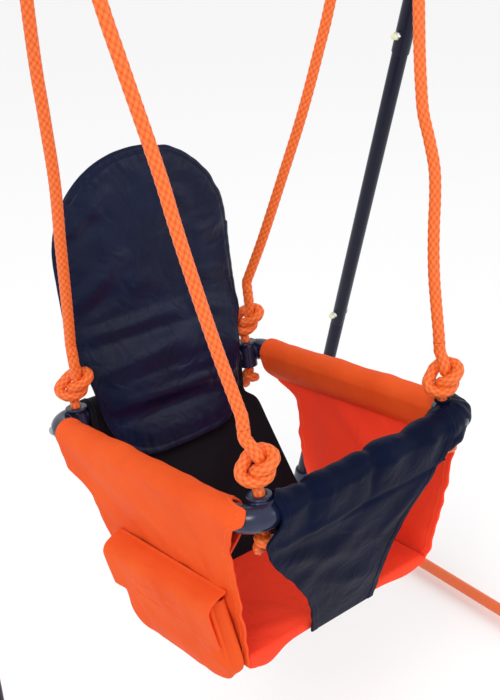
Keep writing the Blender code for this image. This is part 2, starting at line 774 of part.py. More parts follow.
def knot_line(side, end):
    """The rope's line from the top of an overhand knot down through its collar to a wound stopper."""
    right, near = BOW_DIRECTION, Vector((BOW_DIRECTION.y, -BOW_DIRECTION.x, 0))
    centre = Vector((side * ROPE_X, end * ROPE_Y, 0))
    placed = []
    for across, out, up in even_points(tight_knot(), KNOT_POINTS):
        height = Vector((0, 0, up - KNOT_FOOT))
        placed.append(centre + (right * across + near * out + height) * KNOT_WIDTH)
    placed.insert(0, placed[0] + Vector((0, 0, KNOT_DIAMETER)))
    below = placed[-1]
    foot = Vector((below.x, below.y, COLLAR_FOOT_Z))
    placed += [below.lerp(foot, k / 3) for k in (1, 2, 3)]
    start_angle = math.atan2(right.y, right.x)
    for index in range(1, STOPPER_POINTS + 1):
        share = index / STOPPER_POINTS
        angle = start_angle + 2 * math.pi * STOPPER_TURNS * share
        spread = STOPPER_RADIUS * min(1.0, share * 2.2)
        drop = STOPPER_START + STOPPER_PITCH * STOPPER_TURNS * share
        placed.append(foot + Vector((spread * math.cos(angle), spread * math.sin(angle), -drop)))
    return placed


def least_gap(line, diameter):
    """The least gap between stretches of a line that are well apart along it."""
    lengths = [0.0]
    for one, two in zip(line, line[1:]):
        lengths.append(lengths[-1] + (two - one).length)
    least = 1.0
    for i, one in enumerate(line):
        for j in range(i + 1, len(line)):
            if lengths[j] - lengths[i] > 2.6 * diameter:
                least = min(least, (line[j] - one).length - diameter)
    return least


def rope_line(side_name):
    """A rope from the front knot over its saddle to the rear knot, in the swing's frame."""
    side = SIDES[side_name]
    hub = Vector((side * HANGER_X, 0, -SADDLE_DROP))
    rise = seat_to_swing((0, 0, 1)) - seat_to_swing((0, 0, 0))
    halves = {}
    for end_name, end in ENDS.items():
        start = seat_to_swing(knot_line(side, end)[0]) + rise * GAP
        free = start + rise * ROPE_DIAMETER
        run = hub - free
        lean = math.atan2(-run.y * end, run.z)
        leave = over_saddle(hub, end, lean)
        bow = BOW_DIRECTION * ROPE_BOW[(side_name, end_name)]
        shares = [index / 8 for index in range(1, 8)]
        points = [free] + [free.lerp(leave, t) + bow * math.sin(math.pi * t) for t in shares] + [leave]
        bends = [over_saddle(hub, end, lean + (math.pi / 2 - lean) * k / 6) for k in range(1, 6)]
        halves[end_name] = [start] + smooth_line(points, ROPE_STEP) + bends
    return halves["front"] + [over_saddle(hub, 1, math.pi / 2)] + halves["rear"][::-1]


def over_saddle(hub, end, angle):
    """A point of the rope's middle line on its saddle, at an angle up from one end."""
    return hub + Vector((0, end * ROPE_TURN * math.cos(angle), ROPE_TURN * math.sin(angle)))


def ropes(swing, seat, cord):
    """The two ropes, and the four rope ends that are knotted above and below the corner fittings."""
    for side_name, side in SIDES.items():
        line = rope_line(side_name)
        length = sum((two - one).length for one, two in zip(line, line[1:]))
        print(f"{side_name} rope: {length:.3f} m")
        as_part(plain(tube(line, ROPE_DIAMETER / 2, 2, swing)), f"{side_name}_rope", cord)
        for end_name, end in ENDS.items():
            line = knot_line(side, end)
            print(f"{side_name} {end_name} knot, least gap: {least_gap(line, KNOT_DIAMETER) * 1000:.2f} mm")
            knot = plain(tube(line, KNOT_DIAMETER / 2, 1, seat))
            as_part(knot, f"{side_name}_{end_name}_knot", cord)


def ring_tubes(seat, navy):
    """The four tubes of the seat ring."""
    bore = RING_RADIUS - RING_WALL
    side_half = CROSS_TUBE_Y - CORNER_BEND - GAP
    cross_half = ROPE_X - COLLAR_RADIUS - GAP
    for side_name, side in SIDES.items():
        place = (side * SIDE_TUBE_X, 0, RING_Z)
        piece = pipe(RING_RADIUS, bore, -side_half, side_half, RING_SIDES, seat, along_y(place))
        as_part(piece, f"{side_name}_side_tube", navy)
    for end_name, end in ENDS.items():
        place = (0, end * CROSS_TUBE_Y, RING_Z)
        piece = pipe(RING_RADIUS, bore, -cross_half, cross_half, RING_SIDES, seat, along_x(place))
        as_part(piece, f"{end_name}_tube", navy)


def corner_fitting(side_name, end_name, seat, plastic):
    """The moulded elbow of two ring tubes, with the collar that the rope runs through."""
    side, end = SIDES[side_name], ENDS[end_name]
    flip = Vector((side, end, 1))
    bend_x, bend_y = SIDE_TUBE_X - CORNER_BEND, CROSS_TUBE_Y - CORNER_BEND
    cross_end = ROPE_X - COLLAR_RADIUS - SOCKET_DEPTH
    line = [Vector((SIDE_TUBE_X, bend_y - SOCKET_DEPTH, RING_Z))]
    for index in range(6):
        angle = math.pi / 2 * index / 5
        out_x, out_y = CORNER_BEND * math.cos(angle), CORNER_BEND * math.sin(angle)
        line.append(Vector((bend_x + out_x, bend_y + out_y, RING_Z)))
    line.append(Vector((cross_end, CROSS_TUBE_Y, RING_Z)))
    elbow = plain(tube([point * flip for point in line], CORNER_RADIUS, 3, seat))
    centre = Matrix.Translation((side * ROPE_X, end * ROPE_Y, 0))
    profile = [
        (0, 0),
        (COLLAR_RADIUS, 0),
        (COLLAR_RADIUS + COLLAR_RIM_WIDTH * 0.4, -COLLAR_RIM * 0.35),
        (COLLAR_RADIUS, -COLLAR_RIM),
        (COLLAR_RADIUS - COLLAR_RIM_WIDTH, -COLLAR_RIM * 1.5),
        (COLLAR_RADIUS, COLLAR_FOOT_Z),
        (0, COLLAR_FOOT_Z),
    ]
    join(elbow, turned(profile, COLLAR_SIDES, seat, centre))
    bore = RING_RADIUS + GAP
    side_axis = along_y((side * SIDE_TUBE_X, 0, RING_Z))
    cross_axis = along_x((0, end * CROSS_TUBE_Y, RING_Z))
    side_bore = rod(bore, -bend_y, bend_y, RING_SIDES, seat, side_axis)
    cross_stop = ROPE_X - COLLAR_RADIUS
    cross_bore = rod(bore, -cross_stop, cross_stop, RING_SIDES, seat, cross_axis)
    if end_name == "rear":
        wide, narrow, low = PLUG_RADIUS + GAP, PLUG_STEM + GAP, -PLUG_DEPTH - GAP
        hole = [(0, 0.02), (wide, 0.02), (wide, 0), (narrow, 0), (narrow, low), (0, low)]
        cut(elbow, turned(hole, 12, seat, plug_frame(side)))
    cut(elbow, side_bore, cross_bore, rod(COLLAR_BORE, -0.06, 0.02, COLLAR_SIDES, seat, centre))
    as_part(elbow, f"{side_name}_{end_name}_corner", plastic)


def plug_frame(side):
    """The seat of a rear corner's plug: its Z points out of the side."""
    out = SIDE_TUBE_X - CORNER_BEND + math.sqrt(
        (CORNER_BEND + CORNER_RADIUS) ** 2 - (ROPE_Y - CROSS_TUBE_Y + CORNER_BEND) ** 2)
    turn = Matrix.Rotation(math.radians(13), 4, "Z")
    return along_x((side * (out - PLUG_SEAT), ROPE_Y, RING_Z), side) @ turn


def corner_plug(side_name, seat, grey):
    """The domed plug that closes the outer hole of a rear corner."""
    profile = [
        (0, PLUG_DOME),
        (PLUG_RADIUS * 0.6, PLUG_DOME * 0.88),
        (PLUG_RADIUS * 0.92, PLUG_DOME * 0.55),
        (PLUG_RADIUS, GAP),
        (PLUG_STEM, GAP),
        (PLUG_STEM, -PLUG_DEPTH),
        (0, -PLUG_DEPTH),
    ]
    as_part(turned(profile, 12, seat, plug_frame(SIDES[side_name])), f"{side_name}_corner_plug", grey)


def cloth_sheet(rows, thickness=CLOTH, parent=None, matrix=Matrix()):
    """A sheet of cloth through rows of points, with its thickness centred on them."""
    mesh = bpy.data.meshes.new("cloth")
    shape = bmesh.new()
    grid = [[shape.verts.new(point) for point in row] for row in rows]
    for upper, lower in zip(grid, grid[1:]):
        for one, two, three, four in zip(upper, upper[1:], lower[1:], lower):
            shape.faces.new((one, four, three, two))
    shape.to_mesh(mesh)
    shape.free()
    obj = link(bpy.data.objects.new("cloth", mesh), parent, matrix)
    solidify = obj.modifiers.new("thickness", "SOLIDIFY")
    solidify.thickness = thickness
    solidify.offset = 0.0
    solidify.use_even_offset = True
    return obj


def blend_points(table, value):
    """The value between the pairs of a short table, with straight runs between them."""
    if value >= table[0][0]:
        return table[0][1]
    for (high, first), (low, second) in zip(table, table[1:]):
        if value >= low:
            return first + (second - first) * (high - value) / (high - low)
    return table[-1][1]


def sleeve_profile(slope_out, drops):
    """The section of a panel that hangs from a tube: (out, drop, hangs) from the tube's axis.

    The cloth leaves its seam, goes up the inner side, over the tube and down the outer side,
    and then hangs along slope_out(drop), which gives how far out it is at each drop.
    """
    seam_gap = CLOTH + GAP * 2
    profile = [(slope_out(SEAM_DROP) - seam_gap, SEAM_DROP, False)]
    middle_drop = SEAM_DROP * 0.55
    profile.append(((slope_out(SEAM_DROP) - seam_gap) * 0.15 - SLEEVE_MID * 0.75, middle_drop, False))
    for index in range(7):
        angle = math.pi - math.pi * index / 6
        profile.append((SLEEVE_MID * math.cos(angle), -SLEEVE_MID * math.sin(angle), False))
    profile += [(slope_out(drop), drop, True) for drop in drops]
    return profile


def side_panel(side_name, seat, orange):
    """A side panel: a sleeve over the side tube, and a sheet down to the edge of the seat's floor."""
    side = SIDES[side_name]
    floor_out = BASE_HALF + CLOTH / 2 + GAP - SIDE_TUBE_X
    floor_drop = RING_Z - BASE_Z - GAP
    rear_edge = [
        (-0.062, SIDE_SLEEVE_END),
        (-0.080, 0.116),
        (-0.130, 0.106),
        (-0.170, 0.092),
        (BASE_Z, 0.056),
    ]
    front_edge = [
        (-0.045, -SIDE_SLEEVE_END),
        (-0.062, -0.146),
        (-0.120, -0.142),
        (BASE_Z, -0.127),
    ]

    def slope_out(drop):
        return SLEEVE_MID + (floor_out - SLEEVE_MID) * drop / floor_drop

    drops = [0.020, 0.0434, 0.0615, 0.084, 0.1114, 0.132, 0.1514, 0.176, floor_drop]
    count = 9
    rows = []
    for out, drop, hangs in sleeve_profile(slope_out, drops):
        z = RING_Z - drop
        front = blend_points(front_edge, z) if hangs else -SIDE_SLEEVE_END
        rear = blend_points(rear_edge, z) if hangs else SIDE_SLEEVE_END
        free = math.sin(math.pi * min(1.0, max(0.0, drop) / floor_drop)) if hangs else 0.0
        row = []
        for index in range(count + 1):
            share = index / count
            y = front + (rear - front) * share
            wave = FOLD_HEIGHT * free * math.sin(2 * math.pi * (share * 1.5 + 0.1))
            if side_name == "right":
                wave = min(0.0, wave) * min(1.0, max(0.0, (POUCH_FRONT_Y - y) / 0.01))
            row.append(Vector((side * (SIDE_TUBE_X + out + wave), y, z)))
        rows.append(row if side > 0 else row[::-1])
    as_part(cloth_sheet(rows, CLOTH, seat), f"{side_name}_side_panel", orange)


def front_panel(seat, navy):
    """The front panel: a sleeve over the front tube, narrowing between the leg openings."""
    right_edge = [(-0.030, -FRONT_SLEEVE_END), (-0.041, -0.134), (-0.060, -0.130), (-0.079, -0.122),
                  (-0.123, -0.090), (-0.172, -0.062), (BASE_Z, -0.050)]
    left_edge = [(-0.030, FRONT_SLEEVE_END), (-0.050, 0.108), (-0.074, 0.090), (-0.116, 0.062),
                 (-0.158, 0.048), (BASE_Z, 0.045)]
    floor_out = CLOTH + GAP - BASE_FRONT - CROSS_TUBE_Y
    floor_drop = RING_Z - BASE_Z - GAP

    def slope_out(drop):
        share = drop / floor_drop
        return SLEEVE_MID + (floor_out - SLEEVE_MID) * (share - 0.06 * math.sin(math.pi * share))

    drops = [0.0114, 0.0224, 0.0414, 0.0604, 0.082, 0.1044, 0.130, 0.1534, 0.178, floor_drop]
    count = 9
    rows = []
    for out, drop, hangs in sleeve_profile(slope_out, drops):
        z = RING_Z - drop
        right = blend_points(right_edge, z) if hangs else -FRONT_SLEEVE_END
        left = blend_points(left_edge, z) if hangs else FRONT_SLEEVE_END
        free = math.sin(math.pi * min(1.0, drop / floor_drop)) ** 2 if hangs else 0.0
        row = []
        for index in range(count + 1):
            share = index / count
            wave = FOLD_HEIGHT * free * math.cos(2 * math.pi * share)
            row.append(Vector((right + (left - right) * share, -(CROSS_TUBE_Y + out + wave), z)))
        rows.append(row)
    as_part(cloth_sheet(rows, CLOTH, seat), "front_panel", navy)


def back_out(drop):
    """How far behind the rear tube's axis the back panel hangs, for a drop below it."""
    line = [(0.0, SLEEVE_MID), (-0.0091, 0.0134), (-0.043, -0.012), (-0.075, -0.031), (-0.112, -0.060),
            (-0.150, -0.090), (-0.185, -0.122), (BASE_Z - RING_Z, BASE_REAR + CLOTH / 2 + GAP - CROSS_TUBE_Y)]
    return blend_points(line, -drop)


def back_panel(seat, black):
    """The back panel: a sleeve over the rear tube, then a slope forward to the seat's floor."""
    half_width = [(-0.066, FRONT_SLEEVE_END), (-0.084, 0.130), (-0.130, 0.126), (BASE_Z, 0.118)]
    floor_drop = RING_Z - BASE_Z - GAP
    drops = [0.0045, 0.0091, 0.026, 0.0435, 0.0474, 0.0654, 0.094, 0.112, 0.135, 0.160, 0.180, floor_drop]
    count = 8
    rows = []
    for out, drop, hangs in sleeve_profile(back_out, drops):
        z = RING_Z - drop
        half = blend_points(half_width, z) if hangs else FRONT_SLEEVE_END
        free = math.sin(math.pi * min(1.0, drop / floor_drop)) if hangs else 0.0
        row = []
        for index in range(count + 1):
            share = index / count
            sag = FOLD_HEIGHT * free * math.sin(math.pi * share) * 2
            row.append(Vector((half * (1 - 2 * share), CROSS_TUBE_Y + out + sag, z)))
        rows.append(row)
    as_part(cloth_sheet(rows, CLOTH, seat), "back_panel", black)


def seat_floor(seat, orange, board_finish):
    """The stiff board of the seat's floor and the cloth wrapped round it, open at the rear."""
    middle = BASE_Z + BOARD_THICKNESS / 2 + GAP + CLOTH
    turn = BOARD_THICKNESS / 2 + GAP + CLOTH / 2
    bend_y = BASE_FRONT + turn + CLOTH / 2
    section = [(BASE_REAR, middle + turn)]
    for index in range(7):
        angle = math.pi / 2 + math.pi * index / 6
        section.append((bend_y + turn * math.cos(angle), middle + turn * math.sin(angle)))
    section.append((BASE_REAR, middle - turn))
    rows = [[Vector((x, y, z)) for x in (-BASE_HALF, 0.0, BASE_HALF)] for y, z in section]
    as_part(cloth_sheet(rows, CLOTH, seat), "seat_base", orange)
    half = BOARD_THICKNESS / 2
    board = block((-BASE_HALF, bend_y, middle - half), (BASE_HALF, BASE_REAR, middle + half), seat)
    as_part(board, "seat_board", board_finish)


def pad_middle(z):
    """The y of the backrest pad's middle at a height: behind the knots, then along the back panel."""
    lean = [
        (0.090, -PAD_SET_BACK),
        (0.060, -PAD_SET_BACK * 0.6),
        (0.015, 0.0),
        (RING_Z - 0.006, 0.0),
        (-0.042, 0.003),
        (-0.064, 0.008),
        (PAD_BOTTOM, 0.020),
    ]
    return PAD_Y - blend_points(lean, z)


def pad_edge(angle):
    """The edge of the backrest pad, as (x, z), at an angle about its middle.

    The upper part is an arch, nearly half an ellipse, and the lower part has straight sides that
    draw in between the knots, and a squarer end.
    """
    c, s = math.cos(angle), math.sin(angle)
    power = 2 / 2.1 if s > 0 else 2 / 4.5
    height = PAD_TOP - PAD_ARCH if s > 0 else PAD_ARCH - PAD_BOTTOM
    z = PAD_ARCH + height * math.copysign(abs(s) ** power, s)
    x = math.copysign(abs(c) ** power, c)
    width = [(0.095, PAD_HALF), (0.060, PAD_WAIST + 0.004), (0.045, PAD_WAIST), (PAD_BOTTOM, PAD_WAIST)]
    return x * blend_points(width, z), z


def backrest_pad(seat, navy):
    """The tall padded back, a flattened ball drawn out to the pad's outline."""
    mesh = bpy.data.meshes.new("pad")
    shape = bmesh.new()
    bmesh.ops.create_uvsphere(shape, u_segments=36, v_segments=10, radius=1.0)
    for vertex in shape.verts:
        place = vertex.co
        share = math.acos(min(1.0, abs(place.z))) / (math.pi / 2)
        edge_x, edge_z = pad_edge(math.atan2(place.y, place.x))
        x = edge_x * share
        z = PAD_ARCH + (edge_z - PAD_ARCH) * share
        swell = math.sqrt(max(0.0, 1 - share ** 6))
        vertex.co = Vector((x, pad_middle(z) - math.copysign(PAD_THICKNESS / 2 * swell, place.z), z))
    bmesh.ops.remove_doubles(shape, verts=shape.verts, dist=0.00001)
    bmesh.ops.recalc_face_normals(shape, faces=shape.faces)
    shape.to_mesh(mesh)
    shape.free()
    pad = smooth(link(bpy.data.objects.new("pad", mesh), seat, Matrix()))
    as_part(pad, "backrest_pad", navy)


def pouch_frame():
    """The frame of the pocket: Z up along the right panel, X out of it, origin at its top edge."""
    floor_out = BASE_HALF + CLOTH / 2 + GAP - SIDE_TUBE_X
    floor_drop = RING_Z - BASE_Z - GAP
    slant = math.atan((SLEEVE_MID - floor_out) / floor_drop)
    drop = RING_Z - POUCH_TOP_Z
    out = SLEEVE_MID + (floor_out - SLEEVE_MID) * drop / floor_drop
    face = SIDE_TUBE_X + out + (CLOTH / 2 + GAP) / math.cos(slant)
    turn = Matrix.Rotation(math.pi, 4, "Z") @ Matrix.Rotation(slant, 4, "Y")
    return Matrix.Translation((-face, 0, POUCH_TOP_Z)) @ turn


def pocket_pouch(seat, orange):
    """The open-topped pouch of the pocket, a box of cloth with rounded edges."""
    low = Vector((0, -POUCH_REAR_Y, -POUCH_HEIGHT))
    high = Vector((POUCH_DEPTH, -POUCH_FRONT_Y, 0))
    mesh = bpy.data.meshes.new("pouch")
    shape = bmesh.new()
    bmesh.ops.create_cube(shape, size=1.0)
    bmesh.ops.scale(shape, vec=high - low, verts=shape.verts)
    bmesh.ops.translate(shape, vec=(high + low) / 2, verts=shape.verts)
    lid = [face for face in shape.faces if face.normal.z > 0.5]
    bmesh.ops.delete(shape, geom=lid, context="FACES_ONLY")
    edges = [edge for edge in shape.edges if not edge.is_boundary]
    bmesh.ops.bevel(shape, geom=edges, offset=POUCH_CORNER, segments=3, profile=0.5, affect="EDGES")
    shape.to_mesh(mesh)
    shape.free()
    pouch = link(bpy.data.objects.new("pouch", mesh), seat, pouch_frame())
    solidify = pouch.modifiers.new("thickness", "SOLIDIFY")
    solidify.thickness = CLOTH
    solidify.offset = -1.0
    as_part(pouch, "pocket_pouch", orange)


def strip_section():
    """The depth from the panel of the loop strip, the hook strip and the flap's inner face."""
    loop = POUCH_DEPTH + GAP
    hook = loop + STRIP_THICKNESS + GAP
    flap = hook + STRIP_THICKNESS + GAP
    return loop, hook, flap


def flap_hinge():
    """The place of the flap's hinge in the pouch's frame."""
    return Vector((CLOTH / 2 + GAP, 0, FLAP_RISE))


def pocket_flap(flap, orange, black):
    """The pocket's flap and its hook strip, in the frame of the flap's hinge."""
    hinge = flap_hinge()
    inner = strip_section()[2] + CLOTH / 2
    section = [(0.0, 0.0), (inner * 0.45, -0.003), (inner * 0.8, -0.008), (inner - hinge.x, -0.016)]
    section += [(inner - hinge.x, -0.016 - (FLAP_LENGTH - 0.016) * k / 3) for k in (1, 2, 3)]
    front, rear = -POUCH_FRONT_Y + FLAP_MARGIN, -POUCH_REAR_Y - FLAP_MARGIN
    count = 6
    ys = [front + (rear - front) * k / count for k in range(count + 1)]
    rows = [[Vector((x, y, z)) for y in ys] for x, z in section]
    as_part(cloth_sheet(rows, CLOTH, flap), "pocket_flap", orange)
    hook = strip_section()[1] - hinge.x
    middle = -(POUCH_FRONT_Y + POUCH_REAR_Y) / 2
    low = (hook, middle - STRIP_LENGTH / 2, -FLAP_RISE - STRIP_DROP - STRIP_WIDTH / 2)
    high = (hook + STRIP_THICKNESS, middle + STRIP_LENGTH / 2, -FLAP_RISE - STRIP_DROP + STRIP_WIDTH / 2)
    as_part(block(low, high, flap), "flap_hook_strip", black)


def loop_strip(seat, black):
    """The loop strip on the outer face of the pouch."""
    depth = strip_section()[0]
    middle = -(POUCH_FRONT_Y + POUCH_REAR_Y) / 2
    low = (depth, middle - STRIP_LENGTH / 2, -STRIP_DROP - STRIP_WIDTH / 2)
    high = (depth + STRIP_THICKNESS, middle + STRIP_LENGTH / 2, -STRIP_DROP + STRIP_WIDTH / 2)
    as_part(block(low, high, seat, pouch_frame()), "pouch_loop_strip", black)


def anchor(name, parent, matrix):
    """An empty that carries the pieces of a moving body or of the leaned seat."""
    empty = bpy.data.objects.new(name, None)
    bpy.data.collections[SWING_NAME].objects.link(empty)
    empty.parent = parent
    empty.matrix_local = matrix
    empty.empty_display_size = 0.05
    return empty


def build():
    """Make every part of the swing."""
    clear_scene()
    navy_steel = finish("navy_steel", (35, 36, 48), 0.35, 0.3)
    orange_steel = finish("orange_steel", (232, 112, 60), 0.32, 0.2)
    zinc = finish("zinc", (170, 172, 176), 0.35, 1.0)
    dark_steel = finish("dark_steel", (60, 62, 68), 0.4, 0.8)
    navy_plastic = finish("navy_plastic", (30, 32, 46), 0.3)
    grey = finish("grey_plastic", (140, 145, 145), 0.5)
    rope_finish = finish("orange_rope", (245, 115, 40), 0.85)
    orange_cloth = finish("orange_cloth", (243, 95, 45), 0.8)
    navy_cloth = finish("navy_cloth", (34, 40, 66), 0.85)
    black_cloth = finish("black_cloth", (18, 17, 20), 0.9)
    board_finish = finish("board", (60, 55, 50), 0.7)

    top_bar(navy_steel)
    for side_name in SIDES:
        for end_name in ENDS:
            leg_tubes(side_name, end_name, navy_steel)
            foot(side_name, end_name, navy_plastic)
        apex_bracket(side_name, navy_plastic)
        floor_bar(side_name, orange_steel)
        hanger_bracket(side_name, dark_steel)
        pivot_bolt(side_name, zinc)

    swing = anchor("swing_pivot", None, Matrix.Translation((0, 0, PIVOT_Z)))
    lean = Matrix.Translation((0, 0, SEAT_Z - PIVOT_Z)) @ Matrix.Rotation(SEAT_LEAN, 4, "X")
    seat = anchor("seat_lean", swing, lean)
    swing_links(swing, dark_steel, navy_plastic, zinc)
    ropes(swing, seat, rope_finish)
    ring_tubes(seat, navy_steel)
    for side_name in SIDES:
        for end_name in ENDS:
            corner_fitting(side_name, end_name, seat, navy_plastic)
        corner_plug(side_name, seat, grey)
        side_panel(side_name, seat, orange_cloth)
    front_panel(seat, navy_cloth)
    back_panel(seat, black_cloth)
    seat_floor(seat, orange_cloth, board_finish)
    backrest_pad(seat, navy_cloth)
    pocket_pouch(seat, orange_cloth)
    loop_strip(seat, black_cloth)
    flap = anchor("pocket_flap_hinge", seat, pouch_frame() @ Matrix.Translation(flap_hinge()))
    pocket_flap(flap, orange_cloth, black_cloth)
    bpy.context.view_layer.update()
    print("flap hinge:", [round(value, 5) for value in flap.matrix_world.translation])
    print("flap axis:", [round(value, 5) for value in flap.matrix_world.to_3x3() @ Vector((0, 1, 0))])


build()
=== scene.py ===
"""The looks of a toddler swing: a cloth bucket seat on knotted ropes, under a bolted tube frame.

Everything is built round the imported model, in metres: +Z up, +X to the child's left, -Y to the
front. The seat is worked out level, in a frame of its own with its height 0 on the rims of the
rope collars, and is then leaned back as the model's seat is.
"""
from __future__ import annotations

import logging
import math
from dataclasses import dataclass, field
from enum import Enum
from functools import cache
from typing import Callable, Sequence

import bmesh
import bpy
import numpy as np
from bpy.types import Material, Node, NodeSocket, Object
from mathutils import Matrix, Vector

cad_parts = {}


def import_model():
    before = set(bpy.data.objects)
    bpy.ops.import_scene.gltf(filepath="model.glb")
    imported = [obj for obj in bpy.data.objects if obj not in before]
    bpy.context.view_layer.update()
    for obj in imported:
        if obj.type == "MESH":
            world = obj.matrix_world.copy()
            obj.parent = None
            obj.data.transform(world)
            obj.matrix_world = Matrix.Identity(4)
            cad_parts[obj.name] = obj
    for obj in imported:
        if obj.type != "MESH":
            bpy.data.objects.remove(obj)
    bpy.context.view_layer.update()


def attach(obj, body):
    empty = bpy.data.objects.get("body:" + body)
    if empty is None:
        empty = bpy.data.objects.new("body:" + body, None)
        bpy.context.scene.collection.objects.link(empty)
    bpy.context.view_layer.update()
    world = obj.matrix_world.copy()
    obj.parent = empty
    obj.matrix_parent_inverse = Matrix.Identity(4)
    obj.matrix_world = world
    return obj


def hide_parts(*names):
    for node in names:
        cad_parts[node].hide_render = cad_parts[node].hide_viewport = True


Array = np.ndarray
Pairs = Sequence[tuple[float, float]]
Triple = tuple[float, float, float]
LOG = logging.getLogger("toddler_swing")
MM = 0.001


class Body(Enum):
    """The rigid bodies of the model."""

    STAND = "stand"
    SWING = "swing"
    POCKET_LID = "pocket_lid"


class Side(Enum):
    """The child's left and right, as a sign along X."""

    LEFT = 1
    RIGHT = -1

    @property
    def word(self) -> str:
        """The side's name, as the nodes are named."""
        return self.name.lower()


class End(Enum):
    """The front and rear of the swing, as a sign along Y."""

    FRONT = -1
    REAR = 1

    @property
    def word(self) -> str:
        """The end's name, as the nodes are named."""
        return self.name.lower()


@dataclass(frozen=True)
class Place:
    """A frame in the model: an origin, and a turn whose columns are the frame's axes."""

    origin: Array
    turn: Array

    def points(self, local: Array) -> Array:
        """Points of this frame, in the model's frame."""
        return local @ self.turn.T + self.origin

    def ways(self, local: Array) -> Array:
        """Directions of this frame, in the model's frame."""
        return local @ self.turn.T

    def inner(self, origin: Sequence[float], turn: Array | None = None) -> Place:
        """A frame that is given in this one.

        Args:
            origin: the inner frame's origin.
            turn: its axes as columns; without it they are this frame's.

        Returns:
            The inner frame, in the model.
        """
        own = np.eye(3) if turn is None else turn
        return Place(self.points(np.array(origin, float)), self.turn @ own)


def axes(z_way: Sequence[float], x_hint: Sequence[float] = (0.0, 0.0, 1.0)) -> Array:
    """A turn whose Z column points along z_way, and whose X column is as near x_hint as it can be.

    Args:
        z_way: where Z points.
        x_hint: where X should point, not along z_way.

    Returns:
        The 3 by 3 turn.
    """
    z = np.array(z_way, float)
    z /= np.linalg.norm(z)
    x = np.array(x_hint, float)
    x -= z * (x @ z)
    x /= np.linalg.norm(x)
    return stacked(x, np.cross(z, x), z)


def turn_x(angle: float) -> Array:
    """A turn about X by an angle in radians."""
    c, s = math.cos(angle), math.sin(angle)
    return np.array([[1.0, 0.0, 0.0], [0.0, c, -s], [0.0, s, c]])


WORLD = Place(np.zeros(3), np.eye(3))
PIVOT_Z = 1.35
SEAT_Z = 0.654
SEAT_LEAN = -0.1271
SEAT = Place(np.array([0.0, 0.0, SEAT_Z]), turn_x(SEAT_LEAN))
UP = np.array([0.0, 0.0, 1.0])


# Shared sizes


@dataclass(frozen=True)
class SwingSizes:
    """The sizes that pieces of the swing share: ropes, ring, cloth, floor and saddles."""

    rope_x: float = 0.13
    rope_y: float = 0.1714
    rope_diameter: float = 0.0124
    collar_foot: float = -0.035
    hanger_x: float = 0.212
    saddle_drop: float = 0.053
    rope_turn: float = 0.025
    side_tube_x: float = 0.1543
    cross_tube_y: float = 0.1822
    ring_z: float = -0.0186
    sleeve_mid: float = 0.0157
    base_z: float = -0.2196
    bend: float = 0.022
    base_half: float = 0.1345
    base_front: float = -0.1235
    base_rear: float = 0.045
    cloth: float = 0.002
    gap: float = 0.0003
    board: float = 0.005

    @property
    def floor_wrap(self) -> Triple:
        """The floor board's middle height, the bend of the cloth round it, and the y of that bend."""
        turn = self.board / 2 + self.gap + self.cloth / 2
        return self.base_z + turn + self.cloth / 2, turn, self.base_front + turn + self.cloth / 2

    @property
    def floor_drop(self) -> float:
        """From the ring tubes' axes down to the seat's floor."""
        return self.ring_z - self.base_z - self.gap

    @property
    def side_floor_out(self) -> float:
        """How far out of its tube a side panel meets the floor."""
        return self.base_half + self.cloth / 2 + self.gap - self.side_tube_x

    def side_out(self, drop: Array) -> Array:
        """How far out of its tube's axis a side panel hangs at each drop."""
        return self.sleeve_mid + (self.side_floor_out - self.sleeve_mid) * drop / self.floor_drop

    def front_out(self, drop: Array) -> Array:
        """How far out of its tube's axis the front panel hangs at each drop."""
        share = drop / self.floor_drop
        floor_out = self.cloth + self.gap - self.base_front - self.cross_tube_y
        return self.sleeve_mid + (floor_out - self.sleeve_mid) * (share - 0.06 * np.sin(math.pi * share))

    def back_out(self, drop: Array) -> Array:
        """How far out of its tube's axis the back panel hangs at each drop."""
        rear = self.base_rear + self.cloth / 2 + self.gap - self.cross_tube_y
        table = [(0.0, self.sleeve_mid), (0.0091, 0.0134), (0.043, -0.012), (0.075, -0.031), (0.112, -0.06),
                 (0.15, -0.09), (0.185, -0.122), (-self.base_z + self.ring_z, rear)]
        return smooth_table(table, drop)


# Meshes from arrays


def mesh_object(name: str, points: Array, quads: Array, uv: Array | None = None) -> Object:
    """A smooth mesh object from its points and four-sided faces.

    Args:
        name: the object's name.
        points: n by 3, in the model's frame.
        quads: m by 4 indices of points.
        uv: m by 4 by 2 places in the piece's own UV map, in metres.

    Returns:
        The object, at the origin.
    """
    mesh = bpy.data.meshes.new(name)
    count = len(quads)
    mesh.vertices.add(len(points))
    mesh.vertices.foreach_set("co", points.astype(np.float32).ravel())
    mesh.loops.add(count * 4)
    mesh.loops.foreach_set("vertex_index", quads.astype(np.int32).ravel())
    mesh.polygons.add(count)
    mesh.polygons.foreach_set("loop_start", np.arange(count, dtype=np.int32) * 4)
    if uv is not None:
        layer = mesh.uv_layers.new(name="surface")
        layer.data.foreach_set("uv", uv.astype(np.float32).ravel())
    mesh.update(calc_edges=True)
    mesh.validate()
    mesh.shade_smooth()
    obj = bpy.data.objects.new(name, mesh)
    bpy.context.scene.collection.objects.link(obj)
    return obj


def stacked(*parts: Array | float) -> Array:
    """Coordinates that broadcast to one shape, side by side on a last axis of their own."""
    return np.stack(np.broadcast_arrays(*parts), axis=-1)


